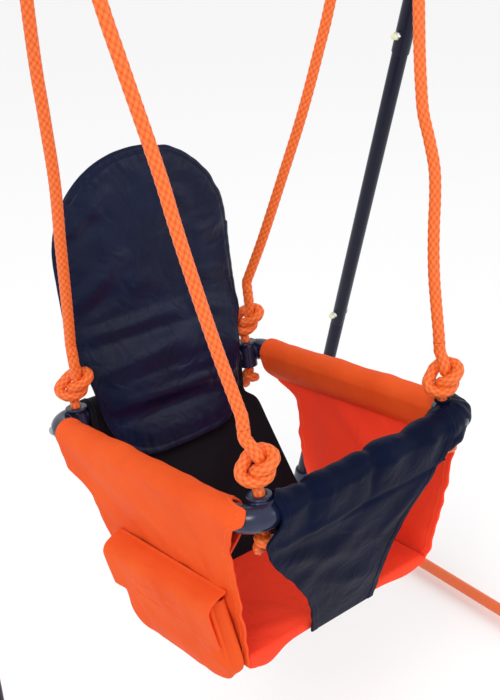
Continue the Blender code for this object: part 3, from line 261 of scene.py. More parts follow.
def grid_quads(rows: int, columns: int, close_rows: bool, close_columns: bool) -> Array:
    """The faces of a grid of points: each joins a point to the next in its row and column.

    Args:
        rows: how many rows of points there are.
        columns: how many points a row has.
        close_rows: join the last row to the first.
        close_columns: join the last point of each row to its first.

    Returns:
        The faces, m by 4.
    """
    index = np.arange(rows * columns).reshape(rows, columns)
    across = np.roll(index, -1, axis=1)
    down = np.roll(index, -1, axis=0)
    both = np.roll(down, -1, axis=1)
    quads = stacked(index, across, both, down)
    quads = quads[: rows if close_rows else rows - 1, : columns if close_columns else columns - 1]
    return quads.reshape(-1, 4)


def grid_object(
    name: str, grid: Array, close_rows: bool = False, close_columns: bool = False, uv: Array | None = None,
) -> Object:
    """A surface from a grid of points.

    Args:
        name: the object's name.
        grid: rows by columns by 3.
        close_rows: join the last row to the first.
        close_columns: join each row's last point to its first.
        uv: rows (+1 where closed) by columns (+1 where closed) by 2.

    Returns:
        The object.
    """
    rows, columns = grid.shape[:2]
    quads = grid_quads(rows, columns, close_rows, close_columns)
    corner = None if uv is None else uv.reshape(-1, 2)[grid_quads(*uv.shape[:2], False, False)]
    return mesh_object(name, grid.reshape(-1, 3), quads, corner)


def tidy_mesh(obj: Object, merge: float = 0.000002) -> Object:
    """The object with its doubles merged, its holes' caps kept and its faces turned outwards.

    Args:
        obj: a mesh object.
        merge: how near two points are that become one.

    Returns:
        The same object.
    """
    shape = bmesh.new()
    shape.from_mesh(obj.data)
    bmesh.ops.remove_doubles(shape, verts=shape.verts, dist=merge)
    bmesh.ops.dissolve_degenerate(shape, edges=shape.edges, dist=merge)
    bmesh.ops.recalc_face_normals(shape, faces=shape.faces)
    shape.to_mesh(obj.data)
    shape.free()
    obj.data.shade_smooth()
    return obj


def rounded(profile: Pairs, radius: float, closed: bool = False, steps: int = 4) -> Array:
    """A profile with its corners rounded: each becomes a quadratic curve that starts and ends one
    radius from the corner, or less on a short side.

    Args:
        profile: (out, up) pairs.
        radius: the rounding, in metres.
        closed: the profile's end joins its start.
        steps: how many points a corner gets, less one.

    Returns:
        n by 2.
    """
    corners = np.array(profile, float)
    before, after = np.roll(corners, 1, axis=0), np.roll(corners, -1, axis=0)
    back, ahead = before - corners, after - corners
    back_length = np.linalg.norm(back, axis=1, keepdims=True)
    ahead_length = np.linalg.norm(ahead, axis=1, keepdims=True)
    start = corners + back * np.minimum(0.45, radius / np.maximum(back_length, 1e-9))
    stop = corners + ahead * np.minimum(0.45, radius / np.maximum(ahead_length, 1e-9))
    t = np.linspace(0.0, 1.0, steps + 1)[None, :, None]
    curve = start[:, None] * (1 - t) ** 2 + corners[:, None] * 2 * t * (1 - t) + stop[:, None] * t ** 2
    if closed:
        return curve.reshape(-1, 2)
    middle = curve[1:-1].reshape(-1, 2)
    return np.concatenate([corners[:1], middle, corners[-1:]])


def turned(
    name: str, place: Place, profile: Pairs, rounding: float = 0.0004, sides: int = 48, ring: bool = False,
    squareness: Callable[[Array], Array] | None = None,
) -> Object:
    """A turned piece: the point at angle a and profile point (r, h) is (r cos a, r sin a, h).

    Args:
        name: the object's name.
        place: the frame whose Z is the axis.
        profile: (radius, height) pairs, from top to bottom down the outer side.
        rounding: the rounding of the profile's corners.
        sides: the number of faces round.
        ring: the profile is closed, as on a tube, and doesn't reach the axis.
        squareness: what the radius is multiplied by at each angle, as for a hexagon.

    Returns:
        The object.
    """
    line = rounded(profile, rounding, closed=ring)
    angle = round_angles(sides)
    factor = np.ones(sides) if squareness is None else squareness(angle)
    radius = line[:, 0][:, None] * factor
    grid = stacked(
        radius * np.cos(angle),
        radius * np.sin(angle),
        np.broadcast_to(line[:, 1][:, None], radius.shape))
    return tidy_mesh(grid_object(name, place.points(grid), close_rows=ring, close_columns=True))


def tube_section(outer: float, bore: float, high: float, low: float) -> Pairs:
    """The profile of a plain tube."""
    return [(outer, high), (outer, low), (bore, low), (bore, high)]


def rod_section(radius: float, high: float, low: float) -> Pairs:
    """The profile of a plain round bar."""
    return [(0.0, high), (radius, high), (radius, low), (0.0, low)]


def round_angles(count: int) -> Array:
    """Even angles once round, without the last, which is the first again."""
    return np.linspace(0.0, 2 * math.pi, count, endpoint=False)


def hexagon(angle: Array) -> Array:
    """The radius of a hexagon at an angle, as a share of its corners' radius."""
    turn = np.mod(angle, math.pi / 3) - math.pi / 6
    return math.cos(math.pi / 6) / np.cos(turn)


def smooth_points(points: Array, per_span: int = 24) -> Array:
    """A smooth line through points: in each span a cubic with the neighbours' direction at its ends.

    Args:
        points: n by 2 or 3.
        per_span: points made in each span.

    Returns:
        (n - 1) * per_span + 1 points.
    """
    ends = np.concatenate([points[:1] * 2 - points[1:2], points, points[-1:] * 2 - points[-2:-1]])
    before, start, stop, after = ends[:-3], ends[1:-2], ends[2:-1], ends[3:]
    t = np.linspace(0.0, 1.0, per_span, endpoint=False)[None, :, None]
    before, start, stop, after = (p[:, None] for p in (before, start, stop, after))
    line = 0.5 * (
        2 * start + (stop - before) * t
        + (2 * before - 5 * start + 4 * stop - after) * t ** 2
        + (3 * start - before - 3 * stop + after) * t ** 3)
    return np.concatenate([line.reshape(-1, points.shape[1]), points[-1:]])


def distances(line: Array) -> Array:
    """How far along a line each of its points is."""
    return np.concatenate([[0.0], np.cumsum(np.linalg.norm(np.diff(line, axis=0), axis=1))])


def resampled(line: Array, count: int, values: Array | None = None) -> Array:
    """The given number of points at an even step along a line.

    Args:
        line: n by 2 or 3.
        count: how many points.
        values: what is read there, where it isn't the line itself.

    Returns:
        The points, with the line's own ends.
    """
    lengths = distances(line)
    marks = np.linspace(0.0, lengths[-1], count)
    source = line if values is None else values
    return np.stack([np.interp(marks, lengths, column) for column in source.T], axis=1)


def even_points(line: Array, step: float) -> Array:
    """Points at about an even step along a line, with the line's own ends."""
    return resampled(line, max(2, round(line_length(line) / step)) + 1)


def line_length(line: Array) -> float:
    """The length of a line of points."""
    return float(np.linalg.norm(np.diff(line, axis=0), axis=1).sum())


def carried_axes(line: Array, first: Sequence[float]) -> tuple[Array, Array]:
    """Two directions square to a line at each point, carried along it without twist.

    Args:
        line: n by 3.
        first: about where the first direction points at the line's start.

    Returns:
        Both directions, n by 3 each.
    """
    way = np.gradient(line, axis=0)
    way /= np.linalg.norm(way, axis=1, keepdims=True)
    out = np.zeros_like(line)
    current = np.array(first, float)
    for index, along in enumerate(way):
        current = current - along * (current @ along)
        current = current / np.linalg.norm(current)
        out[index] = current
    return out, np.cross(way, out)


def smoothstep(low: float, high: float, value: Array) -> Array:
    """0 below low, 1 above high, and a smooth rise between: 3 t squared less 2 t cubed."""
    t = np.clip((value - low) / (high - low), 0.0, 1.0)
    return t * t * (3 - 2 * t)


# Materials


def colour(code: str) -> tuple[float, float, float, float]:
    """An sRGB hex colour, such as F35F2D, as the linear colour that a shader takes.

    Args:
        code: six hex digits.

    Returns:
        Red, green, blue and alpha.
    """
    display = np.array([int(code[i:i + 2], 16) for i in (0, 2, 4)]) / 255
    linear = np.where(display <= 0.04045, display / 12.92, ((display + 0.055) / 1.055) ** 2.4)
    return (*[float(v) for v in linear], 1.0)


def wire(node: Node, inputs: dict[str | int, object]) -> None:
    """Give a node its inputs: a socket is linked, and anything else is the input's own value."""
    for key, value in inputs.items():
        if isinstance(value, NodeSocket):
            node.id_data.links.new(value, node.inputs[key])
        else:
            node.inputs[key].default_value = value


def add_node(
    material: Material,
    kind: str,
    output: str,
    inputs: dict[str | int, object] | None = None,
    stops: Sequence[tuple[float, str]] = (),
    **settings: object,
) -> NodeSocket:
    """Add a node with its settings and links, and hand out one of its outputs.

    Args:
        material: the material that gets the node.
        kind: the node's type name, without ShaderNode.
        output: the name of the output.
        inputs: a value, or a socket to link, for each named or numbered input.
        stops: the (place, sRGB hex) pairs of a colour ramp.
        settings: the node's own properties.

    Returns:
        The output's socket.
    """
    node = material.node_tree.nodes.new("ShaderNode" + kind)
    for key, value in settings.items():
        setattr(node, key, value)
    for place, _ in stops[2:]:
        node.color_ramp.elements.new(place)
    for element, (place, code) in zip(node.color_ramp.elements if stops else (), sorted(stops)):
        element.position = place
        element.color = colour(code)
    wire(node, inputs or {})
    return node.outputs[output]


@dataclass(frozen=True)
class Finish:
    """A finish: the name of its material, and a slot name that the script keeps but doesn't read."""

    name: str
    slot: str

    @cache
    def material(self) -> Material:
        """The finish's material, made on its first use."""
        made = bpy.data.materials.new(self.name)
        made.use_nodes = True
        wire(made.node_tree.nodes["Principled BSDF"], self.inputs(made))
        return made

    def inputs(self, material: Material) -> dict[str, object]:
        """What the shader's inputs get; each finish adds its own nodes for them.

        Args:
            material: the material that the nodes go into.

        Returns:
            A value, or a socket to link, for each named input.
        """
        return {}


@dataclass(frozen=True)
class BraidedRope(Finish):
    """Braided polypropylene multifilament: satin yarns that catch light along their own run.

    The braid's relief is in the mesh. The attribute "crown" is 1 on top of a strand and 0 in the
    groove beside it, which is dark because light is lost there.
    """

    def inputs(self, material: Material) -> dict[str, object]:
        """Colour by the crown of each strand, and filament lines along the strands.

        Args:
            material: the material that the nodes go into.

        Returns:
            The shader's inputs.
        """
        crown = add_node(material, "Attribute", "Fac", attribute_name="crown")
        strand = add_node(material, "UVMap", "UV", uv_map="surface")
        filaments = add_node(material, "TexNoise", "Fac", {"Vector": strand, "Scale": 900.0, "Detail": 2.0})
        return {
            "Base Color": add_node(material, "ValToRGB", "Color", {"Fac": crown}, [
                (0.0, "B83A0C"), (0.55, "E65F18"), (1.0, "F57C28")]),
            "Normal": add_node(material, "Bump", "Normal", {
                "Strength": 0.25, "Distance": 0.0003, "Height": filaments}),
            "Roughness": 0.55,
            "Sheen Weight": 0.08,
            "Sheen Roughness": 0.4,
        }


@dataclass(frozen=True)
class NylonCloth(Finish):
    """Coated woven nylon, as on packs and tents: a fine flat weave with a soft, broad shine."""

    light: str
    deep: str
    inner: str
    roughness: float
    weave_mm: float
    gloss: float

    def inputs(self, material: Material) -> dict[str, object]:
        """Two crossed waves are the weave, and a broad noise shifts the dye a little.

        An inner skin is painted a colour of its own, which is painted light: the redder glow of light that comes
        through the cloth and bounces between its inner faces.

        Args:
            material: the material that the nodes go into.

        Returns:
            The shader's inputs.
        """
        place = add_node(material, "TexCoord", "Object")
        cloudy = add_node(material, "TexNoise", "Fac", {"Vector": place, "Scale": 14.0, "Detail": 3.0})
        skin = add_node(material, "Attribute", "Fac", attribute_name="inner_skin")
        tone = add_node(material, "Math", "Value", {0: cloudy, 1: 0.5, 2: skin}, operation="MULTIPLY_ADD")
        thread = add_node(material, "UVMap", "UV", uv_map="surface")
        pitch = 1.0 / (self.weave_mm * MM)
        wave = {"Vector": thread, "Scale": pitch / 10 * math.pi, "Distortion": 0.4, "Detail Scale": 2.0}
        warp, weft = (
            add_node(material, "TexWave", "Fac", wave, bands_direction=way, wave_profile="SIN") for way in "XY")
        weave = add_node(material, "Math", "Value", {0: warp, 1: weft}, operation="MAXIMUM")
        crinkle = add_node(material, "TexNoise", "Fac", {
            "Vector": place, "Scale": 30.0, "Detail": 3.0, "Roughness": 0.45, "Distortion": 1.4})
        creased = add_node(material, "Bump", "Normal", {
            "Strength": 0.55, "Distance": 0.0035, "Height": crinkle})
        return {
            # The inner skin's ramp stop is painted light, not a dye of the cloth.
            "Base Color": add_node(material, "ValToRGB", "Color", {"Fac": tone}, [
                (0.12, self.deep), (0.35, self.light), (0.5, self.light), (0.51, self.inner)]),
            "Normal": add_node(material, "Bump", "Normal", {
                "Strength": 0.12, "Distance": 0.0002, "Height": weave, "Normal": creased}),
            "Roughness": self.roughness,
            "Specular IOR Level": self.gloss,
        }


@dataclass(frozen=True)
class Metal(Finish):
    """A steel surface, bare, plated or powder coated, with a fine grain in its shine."""

    base: str
    worn: str
    metallic: float
    roughness: float
    grain_scale: float
    bump: float
    gloss: float = 0.5

    def inputs(self, material: Material) -> dict[str, object]:
        """A fine noise moves the colour, the roughness and the height together.

        Args:
            material: the material that the nodes go into.

        Returns:
            The shader's inputs.
        """
        place = add_node(material, "TexCoord", "Object")
        grain = add_node(material, "TexNoise", "Fac", {
            "Vector": place, "Scale": self.grain_scale, "Detail": 4.0})
        return {
            "Base Color": add_node(
                material, "ValToRGB", "Color", {"Fac": grain}, [(0.35, self.base), (0.75, self.worn)]),
            "Roughness": add_node(material, "MapRange", "Result", {
                "Value": grain, "To Min": self.roughness - 0.06, "To Max": self.roughness + 0.08}),
            "Normal": add_node(
                material, "Bump", "Normal", {"Strength": self.bump, "Distance": 0.0002, "Height": grain}),
            "Metallic": self.metallic,
            "Specular IOR Level": self.gloss,
        }


@dataclass(frozen=True)
class Moulded(Finish):
    """Injection-moulded plastic: an even colour with a fine spark-eroded grain."""

    base: str
    light: str
    roughness: float

    def inputs(self, material: Material) -> dict[str, object]:
        """A soft mottling, and a grain of about half a millimetre.

        Args:
            material: the material that the nodes go into.

        Returns:
            The shader's inputs.
        """
        place = add_node(material, "TexCoord", "Object")
        mottle = add_node(material, "TexNoise", "Fac", {"Vector": place, "Scale": 60.0, "Detail": 2.0})
        grain = add_node(material, "TexNoise", "Fac", {"Vector": place, "Scale": 1800.0, "Detail": 1.0})
        return {
            "Base Color": add_node(
                material, "ValToRGB", "Color", {"Fac": mottle}, [(0.3, self.base), (0.8, self.light)]),
            "Normal": add_node(material, "Bump", "Normal", {
                "Strength": 0.05, "Distance": 0.0001, "Height": grain}),
            "Roughness": self.roughness,
            "IOR": 1.5,
        }


class Finishes:
    """Every finish of the swing, named for what it is."""

    rope = BraidedRope("braided_polypropylene", "orange_rope")
    # The orange cloth's third colour, FF4A30, is painted light on its inner skin: the red glow of light through
    # and inside the cloth.
    orange_cloth = NylonCloth("orange_coated_nylon", "orange_cloth", "EA5D28", "E25121", "FF4A30", 0.6, 0.5, 0.06)
    navy_cloth = NylonCloth("navy_coated_nylon", "navy_cloth", "08112C", "060B20", "060B20", 0.45, 0.5, 0.05)
    black_cloth = NylonCloth("black_nylon", "black_cloth", "1E1D24", "17161C", "17161C", 0.6, 0.6, 0.06)
    pad_cloth = NylonCloth("navy_satin", "navy_cloth", "091434", "070F28", "070F28", 0.33, 0.4, 0.17)
    orange_thread = Moulded("orange_thread", "orange_cloth", "F0561F", "FF7A3C", 0.6)
    navy_thread = Moulded("navy_thread", "navy_cloth", "1E2644", "343E66", 0.6)
    black_thread = Moulded("black_thread", "black_cloth", "101014", "1E1E24", 0.6)
    strip = Moulded("woven_strip", "hook_and_loop", "141318", "25232B", 0.9)
    navy_steel = Metal("navy_powder_coat", "navy_steel", "0F1226", "15182C", 0.0, 0.34, 900.0, 0.08, 0.2)
    orange_steel = Metal("orange_powder_coat", "orange_steel", "DE5F2C", "E8733F", 0.0, 0.32, 900.0, 0.08, 0.4)
    dark_steel = Metal("phosphated_steel", "dark_steel", "35373D", "4C4F57", 0.8, 0.42, 700.0, 0.1)
    zinc = Metal("zinc_plate", "zinc", "B9BCC0", "D8DADD", 1.0, 0.3, 400.0, 0.06)
    navy_plastic = Moulded("navy_polypropylene", "navy_plastic", "141B36", "1D2442", 0.24)
    grey_plastic = Moulded("grey_polyethylene", "grey_plastic", "8D9292", "A3A8A8", 0.5)
    ivory_plastic = Moulded("ivory_polyethylene", "grey_plastic", "DEDFB4", "EBEBCB", 0.45)
    board = Moulded("pressed_board", "board", "3C3731", "4A443C", 0.7)


def show(obj: Object, body: Body, finish: Finish, *nodes: str) -> Object:
    """Dress a piece, let it ride on its body and let it stand for its nodes.

    Args:
        obj: the piece.
        body: the body that it moves with.
        finish: its finish.
        nodes: the nodes that it stands for.

    Returns:
        The piece.
    """
    obj.data.materials.clear()
    obj.data.materials.append(finish.material())
    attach(obj, body.value)
    if nodes:
        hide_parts(*nodes)
    LOG.info("piece %s: %d faces", obj.name, len(obj.data.polygons))
    return obj


# Ropes


@dataclass
class RopeRig:
    """One rope: a stopper, the front knot, the run over the saddle, the rear knot and a stopper."""

    side: Side
    sizes: SwingSizes = SwingSizes()
    knot_diameter: float = 0.0105
    drawn_diameter: float = 0.0119
    knot_width: float = 0.0116
    knot_foot: float = -2.5
    knot_steps: int = 150
    knot_points: int = 110
    stopper_turns: float = 1.6
    stopper_radius: float = 0.007
    stopper_pitch: float = 0.0114
    stopper_start: float = 0.006
    step: float = 0.0014
    sides: int = 48
    strands: int = 6
    strand_pitch: float = 0.0092
    strand_height: float = 0.00085
    knot_stretch: Triple = (1.2, 1.0, 0.86)
    knot_bulk: float = 0.0007
    braid_rise: float = 0.0003
    sways: dict[tuple[Side, End], tuple[tuple[float, float], ...]] = field(default_factory=lambda: {
        (Side.RIGHT, End.REAR): (
            (0, 0.0095), (0.1, 0.0101), (0.24, 0.0101), (0.36, 0.0107), (0.48, 0.0073), (0.62, 0.0033), (1, 0)),
        (Side.RIGHT, End.FRONT): (
            (0, -0.0072), (0.14, -0.0094), (0.31, -0.009), (0.42, -0.007), (0.58, -0.0076), (0.7, -0.0072),
            (1, 0)),
        (Side.LEFT, End.REAR): (
            (0, 0.0107), (0.1, 0.0159), (0.24, 0.0198), (0.37, 0.0227), (0.49, 0.022), (0.62, 0.0187), (1, 0)),
        (Side.LEFT, End.FRONT): (
            (0, 0.0008), (0.1, -0.0014), (0.18, 0), (0.28, 0.004), (0.34, 0.0008), (0.4, -0.0054),
            (0.5, -0.0066), (0.62, -0.0048), (1, 0)),
    })
    entries: dict[tuple[Side, End], tuple[float, float]] = field(default_factory=lambda: {
        (Side.RIGHT, End.REAR): (0.42, 0.013), (Side.RIGHT, End.FRONT): (0.66, 0.0),
        (Side.LEFT, End.REAR): (0.42, 0.0085), (Side.LEFT, End.FRONT): (0.42, -0.006),
    })
    bow_way: Triple = (0.78, -0.62, 0.0)
    knot_guide: tuple[Triple, ...] = (
        (0.0, 0.0, 3.4), (0.1, 0.05, 2.8), (0.25, 0.15, 2.1), (0.6, -0.1, 1.3), (0.95, -0.15, 0.3),
        (0.6, 0.2, -0.7), (-0.2, 0.45, -1.2), (-1.05, 0.25, -0.6), (-1.15, 0.0, 0.4), (-0.6, -0.45, 1.3),
        (0.3, -0.95, 1.9), (1.25, -0.75, 2.0), (1.55, 0.0, 1.5), (1.0, 0.85, 0.9), (0.25, 0.75, 0.2),
        (-0.25, 0.1, -0.45), (-0.25, -0.7, -1.1), (-0.05, -0.25, -1.8), (0.0, 0.0, -2.3),
    )

    def tight_knot(self) -> Array:
        """The line of an overhand knot that is drawn tight, in strand widths.

        It starts as a smooth line through the guide, whose points are (right, near, up). In each
        step every point moves towards the middle of its neighbours, which shortens the line, and
        strands that have come nearer than one width push each other away.

        Returns:
            knot_points points.
        """
        line = resampled(smooth_points(np.array(self.knot_guide)), self.knot_points)
        index = np.arange(len(line))
        for step in range(self.knot_steps):
            spacing = np.linalg.norm(np.diff(line, axis=0), axis=1).mean()
            between = line[:, None] - line[None]
            distance = np.maximum(np.linalg.norm(between, axis=2), 0.000001)
            other = np.abs(index[:, None] - index) * spacing > 1.45
            share = np.where(other & (distance < 1.0), (1.0 - distance) / distance, 0.0)
            push = (share[..., None] * between).sum(axis=1) * 0.28
            size = np.maximum(np.linalg.norm(push, axis=1, keepdims=True), 0.000001)
            push *= np.minimum(1.0, 0.1 / size)
            middle = (line[:-2] + line[2:]) / 2
            line[1:-1] += (middle - line[1:-1]) * 0.3 + push[1:-1]
            if step % 5 == 4:
                line = resampled(line, len(line))
        return line

    def knot_line(self, end: End) -> Array:
        """The line from the top of a knot, down through the collar, to the stopper's end.

        The stopper is a helix that widens from the line below the collar.

        Args:
            end: which of the rope's two ends.

        Returns:
            Points in the seat's frame.
        """
        right = np.array(self.bow_way)
        near = np.array([right[1], -right[0], 0.0])
        centre = np.array([self.side.value * self.sizes.rope_x, end.value * self.sizes.rope_y, 0.0])
        knot = self.tight_knot() * np.array(self.knot_stretch)
        spot = knot[:, :1] * right + knot[:, 1:2] * near
        spot[:, 2] += knot[:, 2] - self.knot_foot * self.knot_stretch[2]
        placed = centre + spot * self.knot_width
        height = placed[:, 2:] / placed[0, 2]
        low, towards = self.entries[(self.side, end)]
        lean = np.maximum(0.0, height - low) / (1 - low)
        placed = placed + right * self.sways[(self.side, end)][0][1] * lean + near * towards * lean
        above = placed[:1] + np.array([[0.0, 0.0, self.knot_diameter]])
        below = placed[-1]
        foot = np.array([below[0], below[1], self.sizes.collar_foot])
        run = below + (foot - below) * np.linspace(0.0, 1.0, 20)[1:, None]
        share = np.linspace(0.0, 1.0, 61)[1:]
        angle = math.atan2(right[1], right[0]) + 2 * math.pi * self.stopper_turns * share
        spread = self.stopper_radius * np.minimum(1.0, share * 2.2)
        drop = self.stopper_start + self.stopper_pitch * self.stopper_turns * share
        wound = foot + stacked(spread * np.cos(angle), spread * np.sin(angle), -drop)
        return smooth_points(resampled(np.concatenate([above, placed, run, wound]), 90), 6)

    @property
    def hub(self) -> Array:
        """The middle of the rope's saddle."""
        return np.array([self.side.value * self.sizes.hanger_x, 0.0, PIVOT_Z - self.sizes.saddle_drop])

    def over_saddle(self, end: End, angle: Array) -> Array:
        """Points of the rope's middle line on its saddle, at angles up from one end."""
        return self.hub + self.sizes.rope_turn * stacked(0.0, end.value * np.cos(angle), np.sin(angle))

    def half_run(self, end: End, start: Array) -> Array:
        """The rope from a knot's top up to the crown of its saddle.

        Args:
            end: which half.
            start: the knot's top, in the model.

        Returns:
            Points in the model.
        """
        rise = SEAT.ways(UP)
        first = start + rise * self.sizes.gap
        free = first + rise * self.sizes.rope_diameter
        run = self.hub - free
        lean = math.atan2(-run[1] * end.value, run[2])
        leave = self.over_saddle(end, np.array(lean))
        sway = self.sways[(self.side, end)]
        share = np.linspace(0.0, 1.0, 21)[:, None]
        aside = smooth_table(sway, share) - sway[0][1] * (1 - share)
        points = free + (leave - free) * share + np.array(self.bow_way) * aside
        bend = self.over_saddle(end, lean + (math.pi / 2 - lean) * np.linspace(0.0, 1.0, 13)[1:-1])
        return np.concatenate([first[None], smooth_points(points), bend])

    def braid(self, angle: Array, along: Array) -> Array:
        """How high the braid stands at each place, from 0 in a groove to 1 on a crown.

        Two families of strands wind opposite ways. Across itself a strand is half a sine, and
        along itself it goes over and under the other family in turn.

        Args:
            angle: the angle round the rope.
            along: the distance along it.

        Returns:
            The height at each place.
        """
        turn = angle * self.strands / (2 * math.pi)
        rise = along / self.strand_pitch
        one, two = turn + rise, turn - rise
        over = np.cos(math.pi * (two - 0.5 + np.floor(one)))
        under = -np.cos(math.pi * (one - 0.5 + np.floor(two)))
        first = np.abs(np.sin(math.pi * one)) ** 0.7 * (0.62 + 0.38 * over)
        second = np.abs(np.sin(math.pi * two)) ** 0.7 * (0.62 + 0.38 * under)
        return np.maximum(first, second)

    def build(self) -> None:
        """Make the knots and the rope as one braid, cut where the nodes meet."""
        front, rear = (SEAT.points(self.knot_line(end)) for end in (End.FRONT, End.REAR))
        crown = self.over_saddle(End.REAR, np.array([math.pi / 2]))
        run = np.concatenate([
            self.half_run(End.FRONT, front[0]), crown, self.half_run(End.REAR, rear[0])[::-1]])
        pieces = [even_points(part, self.step) for part in (front[::-1], run, rear)]
        line = np.concatenate(pieces)
        counts = [len(part) for part in pieces]
        length = distances(line)
        out, side = carried_axes(line, (1.0, 0.0, 0.0))
        angle = round_angles(self.sides)
        joint = [length[counts[0]], length[counts[0] + counts[1] - 1]]
        knot, rope = self.drawn_diameter / 2, self.sizes.rope_diameter / 2 + self.braid_rise
        wide = smoothstep(joint[0], joint[0] + 0.012, length) * smoothstep(-joint[1], 0.012 - joint[1], -length)
        above = (line - SEAT.origin) @ SEAT.ways(UP)
        radius = knot + self.knot_bulk * smoothstep(0.009, 0.016, above)
        radius = radius + (rope - radius) * wide
        height = self.braid(angle[None, :], length[:, None])
        reach = radius[:, None] - self.strand_height * (1 - height)
        ring = np.cos(angle)[None, :, None] * out[:, None] + np.sin(angle)[None, :, None] * side[:, None]
        grid = line[:, None] + reach[..., None] * ring
        ends = np.cumsum(counts)
        for word, start, stop in zip(("front_knot", "rope", "rear_knot"), ends - counts, ends):
            node = f"{self.side.word}_{word}"
            parts = (values[start:stop] for values in (grid, line, height, length))
            self.strand_mesh(node, *parts, angle)

    def strand_mesh(
        self, node: str, grid: Array, line: Array, height: Array, length: Array, angle: Array,
    ) -> Object:
        """One stretch of the braid as a closed mesh with its strand heights.

        Args:
            node: the node that it stands for.
            grid: its points, ring by ring.
            line: its middle line.
            height: the braid's height at each point.
            length: the distance along the whole rope.
            angle: the angle of each point of a ring.

        Returns:
            The piece.
        """
        caps = [np.broadcast_to(point, grid[:1].shape) for point in (line[0], line[-1])]
        grid = np.concatenate([caps[0], grid, caps[1]])
        height = np.concatenate([height[:1], height, height[-1:]])
        length = np.concatenate([length[:1], length, length[-1:]])
        round_way = np.append(angle, 2 * math.pi) * self.sizes.rope_diameter / 2
        uv = stacked(round_way[None, :], length[:, None])
        obj = grid_object(f"{node}_braid", grid, close_columns=True, uv=uv)
        layer = obj.data.attributes.new("crown", "FLOAT", "POINT")
        layer.data.foreach_set("value", height.astype(np.float32).ravel())
        tidy_mesh(obj)
        return show(obj, Body.SWING, Finishes.rope, node)


# Turned, swept and fused pieces


def swept(
    name: str, place: Place, line: Array, radius: Array | float, sides: int = 40,
    first: Sequence[float] = (0.0, 0.0, 1.0),
) -> Object:
    """A round bar along a line: at each point a circle square to the line, closed at both ends.

    Args:
        name: the object's name.
        place: the frame of the line.
        line: n by 3.
        radius: one radius, or one for each point.
        sides: the number of faces round.
        first: the direction of the first circle's start.

    Returns:
        The object.
    """
    radii = np.broadcast_to(np.asarray(radius, float), len(line)).copy()
    one, other = carried_axes(line, first)
    ends = np.concatenate([line[:1], line, line[-1:]])
    radii = np.concatenate([[0.0], radii, [0.0]])
    one = np.concatenate([one[:1], one, one[-1:]])
    other = np.concatenate([other[:1], other, other[-1:]])
    angle = round_angles(sides)[None, :, None]
    circle = np.cos(angle) * one[:, None] + np.sin(angle) * other[:, None]
    grid = ends[:, None] + radii[:, None, None] * circle
    return tidy_mesh(grid_object(name, place.points(grid), close_columns=True))


def plate(
    name: str, place: Place, outline: Pairs, low: float, high: float, bevel: float = 0.0005,
) -> Object:
    """A flat plate: an outline in the frame's XY plane, from one height to another, with eased edges.

    Args:
        name: the object's name.
        place: the frame.
        outline: (x, y) pairs.
        low: the lower face's height.
        high: the upper face's.
        bevel: how much the edges are eased.

    Returns:
        The object.
    """
    flat = np.array(outline, float)
    count = len(flat)
    points = np.concatenate([
        np.concatenate([flat, np.full((count, 1), level)], axis=1) for level in (high, low)])
    mesh = bpy.data.meshes.new(name)
    after = [(k + 1) % count for k in range(count)]
    faces = [list(range(count)), list(range(2 * count - 1, count - 1, -1))]
    faces += [[after[k], k, k + count, after[k] + count] for k in range(count)]
    mesh.from_pydata(place.points(points).tolist(), [], faces)
    obj = bpy.data.objects.new(name, mesh)
    bpy.context.scene.collection.objects.link(obj)
    tidy_mesh(obj)
    ease = obj.modifiers.new("edges", "BEVEL")
    ease.width = bevel
    ease.segments = 3
    ease.limit_method = "ANGLE"
    ease.angle_limit = math.radians(40)
    return settled(obj)


def settled(obj: Object) -> Object:
    """Put the result of an object's modifiers into its mesh.

    Args:
        obj: the object.

    Returns:
        The same object.
    """
    graph = bpy.context.evaluated_depsgraph_get()
    mesh = bpy.data.meshes.new_from_object(obj.evaluated_get(graph))
    obj.modifiers.clear()
    obj.data = mesh
    mesh.shade_smooth()
    mesh.set_sharp_from_angle(angle=math.radians(50))
    return obj


def merged(name: str, *pieces: Object) -> Object:
    """One object that holds the meshes of several.

    Args:
        name: the object's name.
        pieces: the objects, which are used up.

    Returns:
        The object.
    """
    shape = bmesh.new()
    for piece in pieces:
        shape.from_mesh(piece.data)
        bpy.data.objects.remove(piece)
    mesh = bpy.data.meshes.new(name)
    shape.to_mesh(mesh)
    shape.free()
    mesh.shade_smooth()
    mesh.set_sharp_from_angle(angle=math.radians(50))
    obj = bpy.data.objects.new(name, mesh)
    bpy.context.scene.collection.objects.link(obj)
    return obj


def moulded(name: str, *pieces: Object, voxel: float = 0.0009, rounds: int = 6) -> Object:
    """One moulded body made of several: united on fine voxels, with the corners between them eased.

    Args:
        name: the object's name.
        pieces: the closed bodies.
        voxel: the size of the voxels.
        rounds: how often the surface is smoothed.

    Returns:
        The body.
    """
    obj = merged(name, *pieces)
    unite = obj.modifiers.new("unite", "REMESH")
    unite.mode = "VOXEL"
    unite.voxel_size = voxel
    soften = obj.modifiers.new("soften", "SMOOTH")
    soften.factor = 0.5
    soften.iterations = rounds
    settled(obj)
    obj.data.set_sharp_from_angle(angle=math.radians(80))
    return obj


def along(way: Sequence[float], origin: Sequence[float], parent: Place = WORLD) -> Place:
    """A frame in another whose Z points one way."""
    hint = (0.0, 0.0, 1.0) if abs(way[2]) < 0.9 else (1.0, 0.0, 0.0)
    return parent.inner(origin, axes(way, hint))


# Ring of the seat


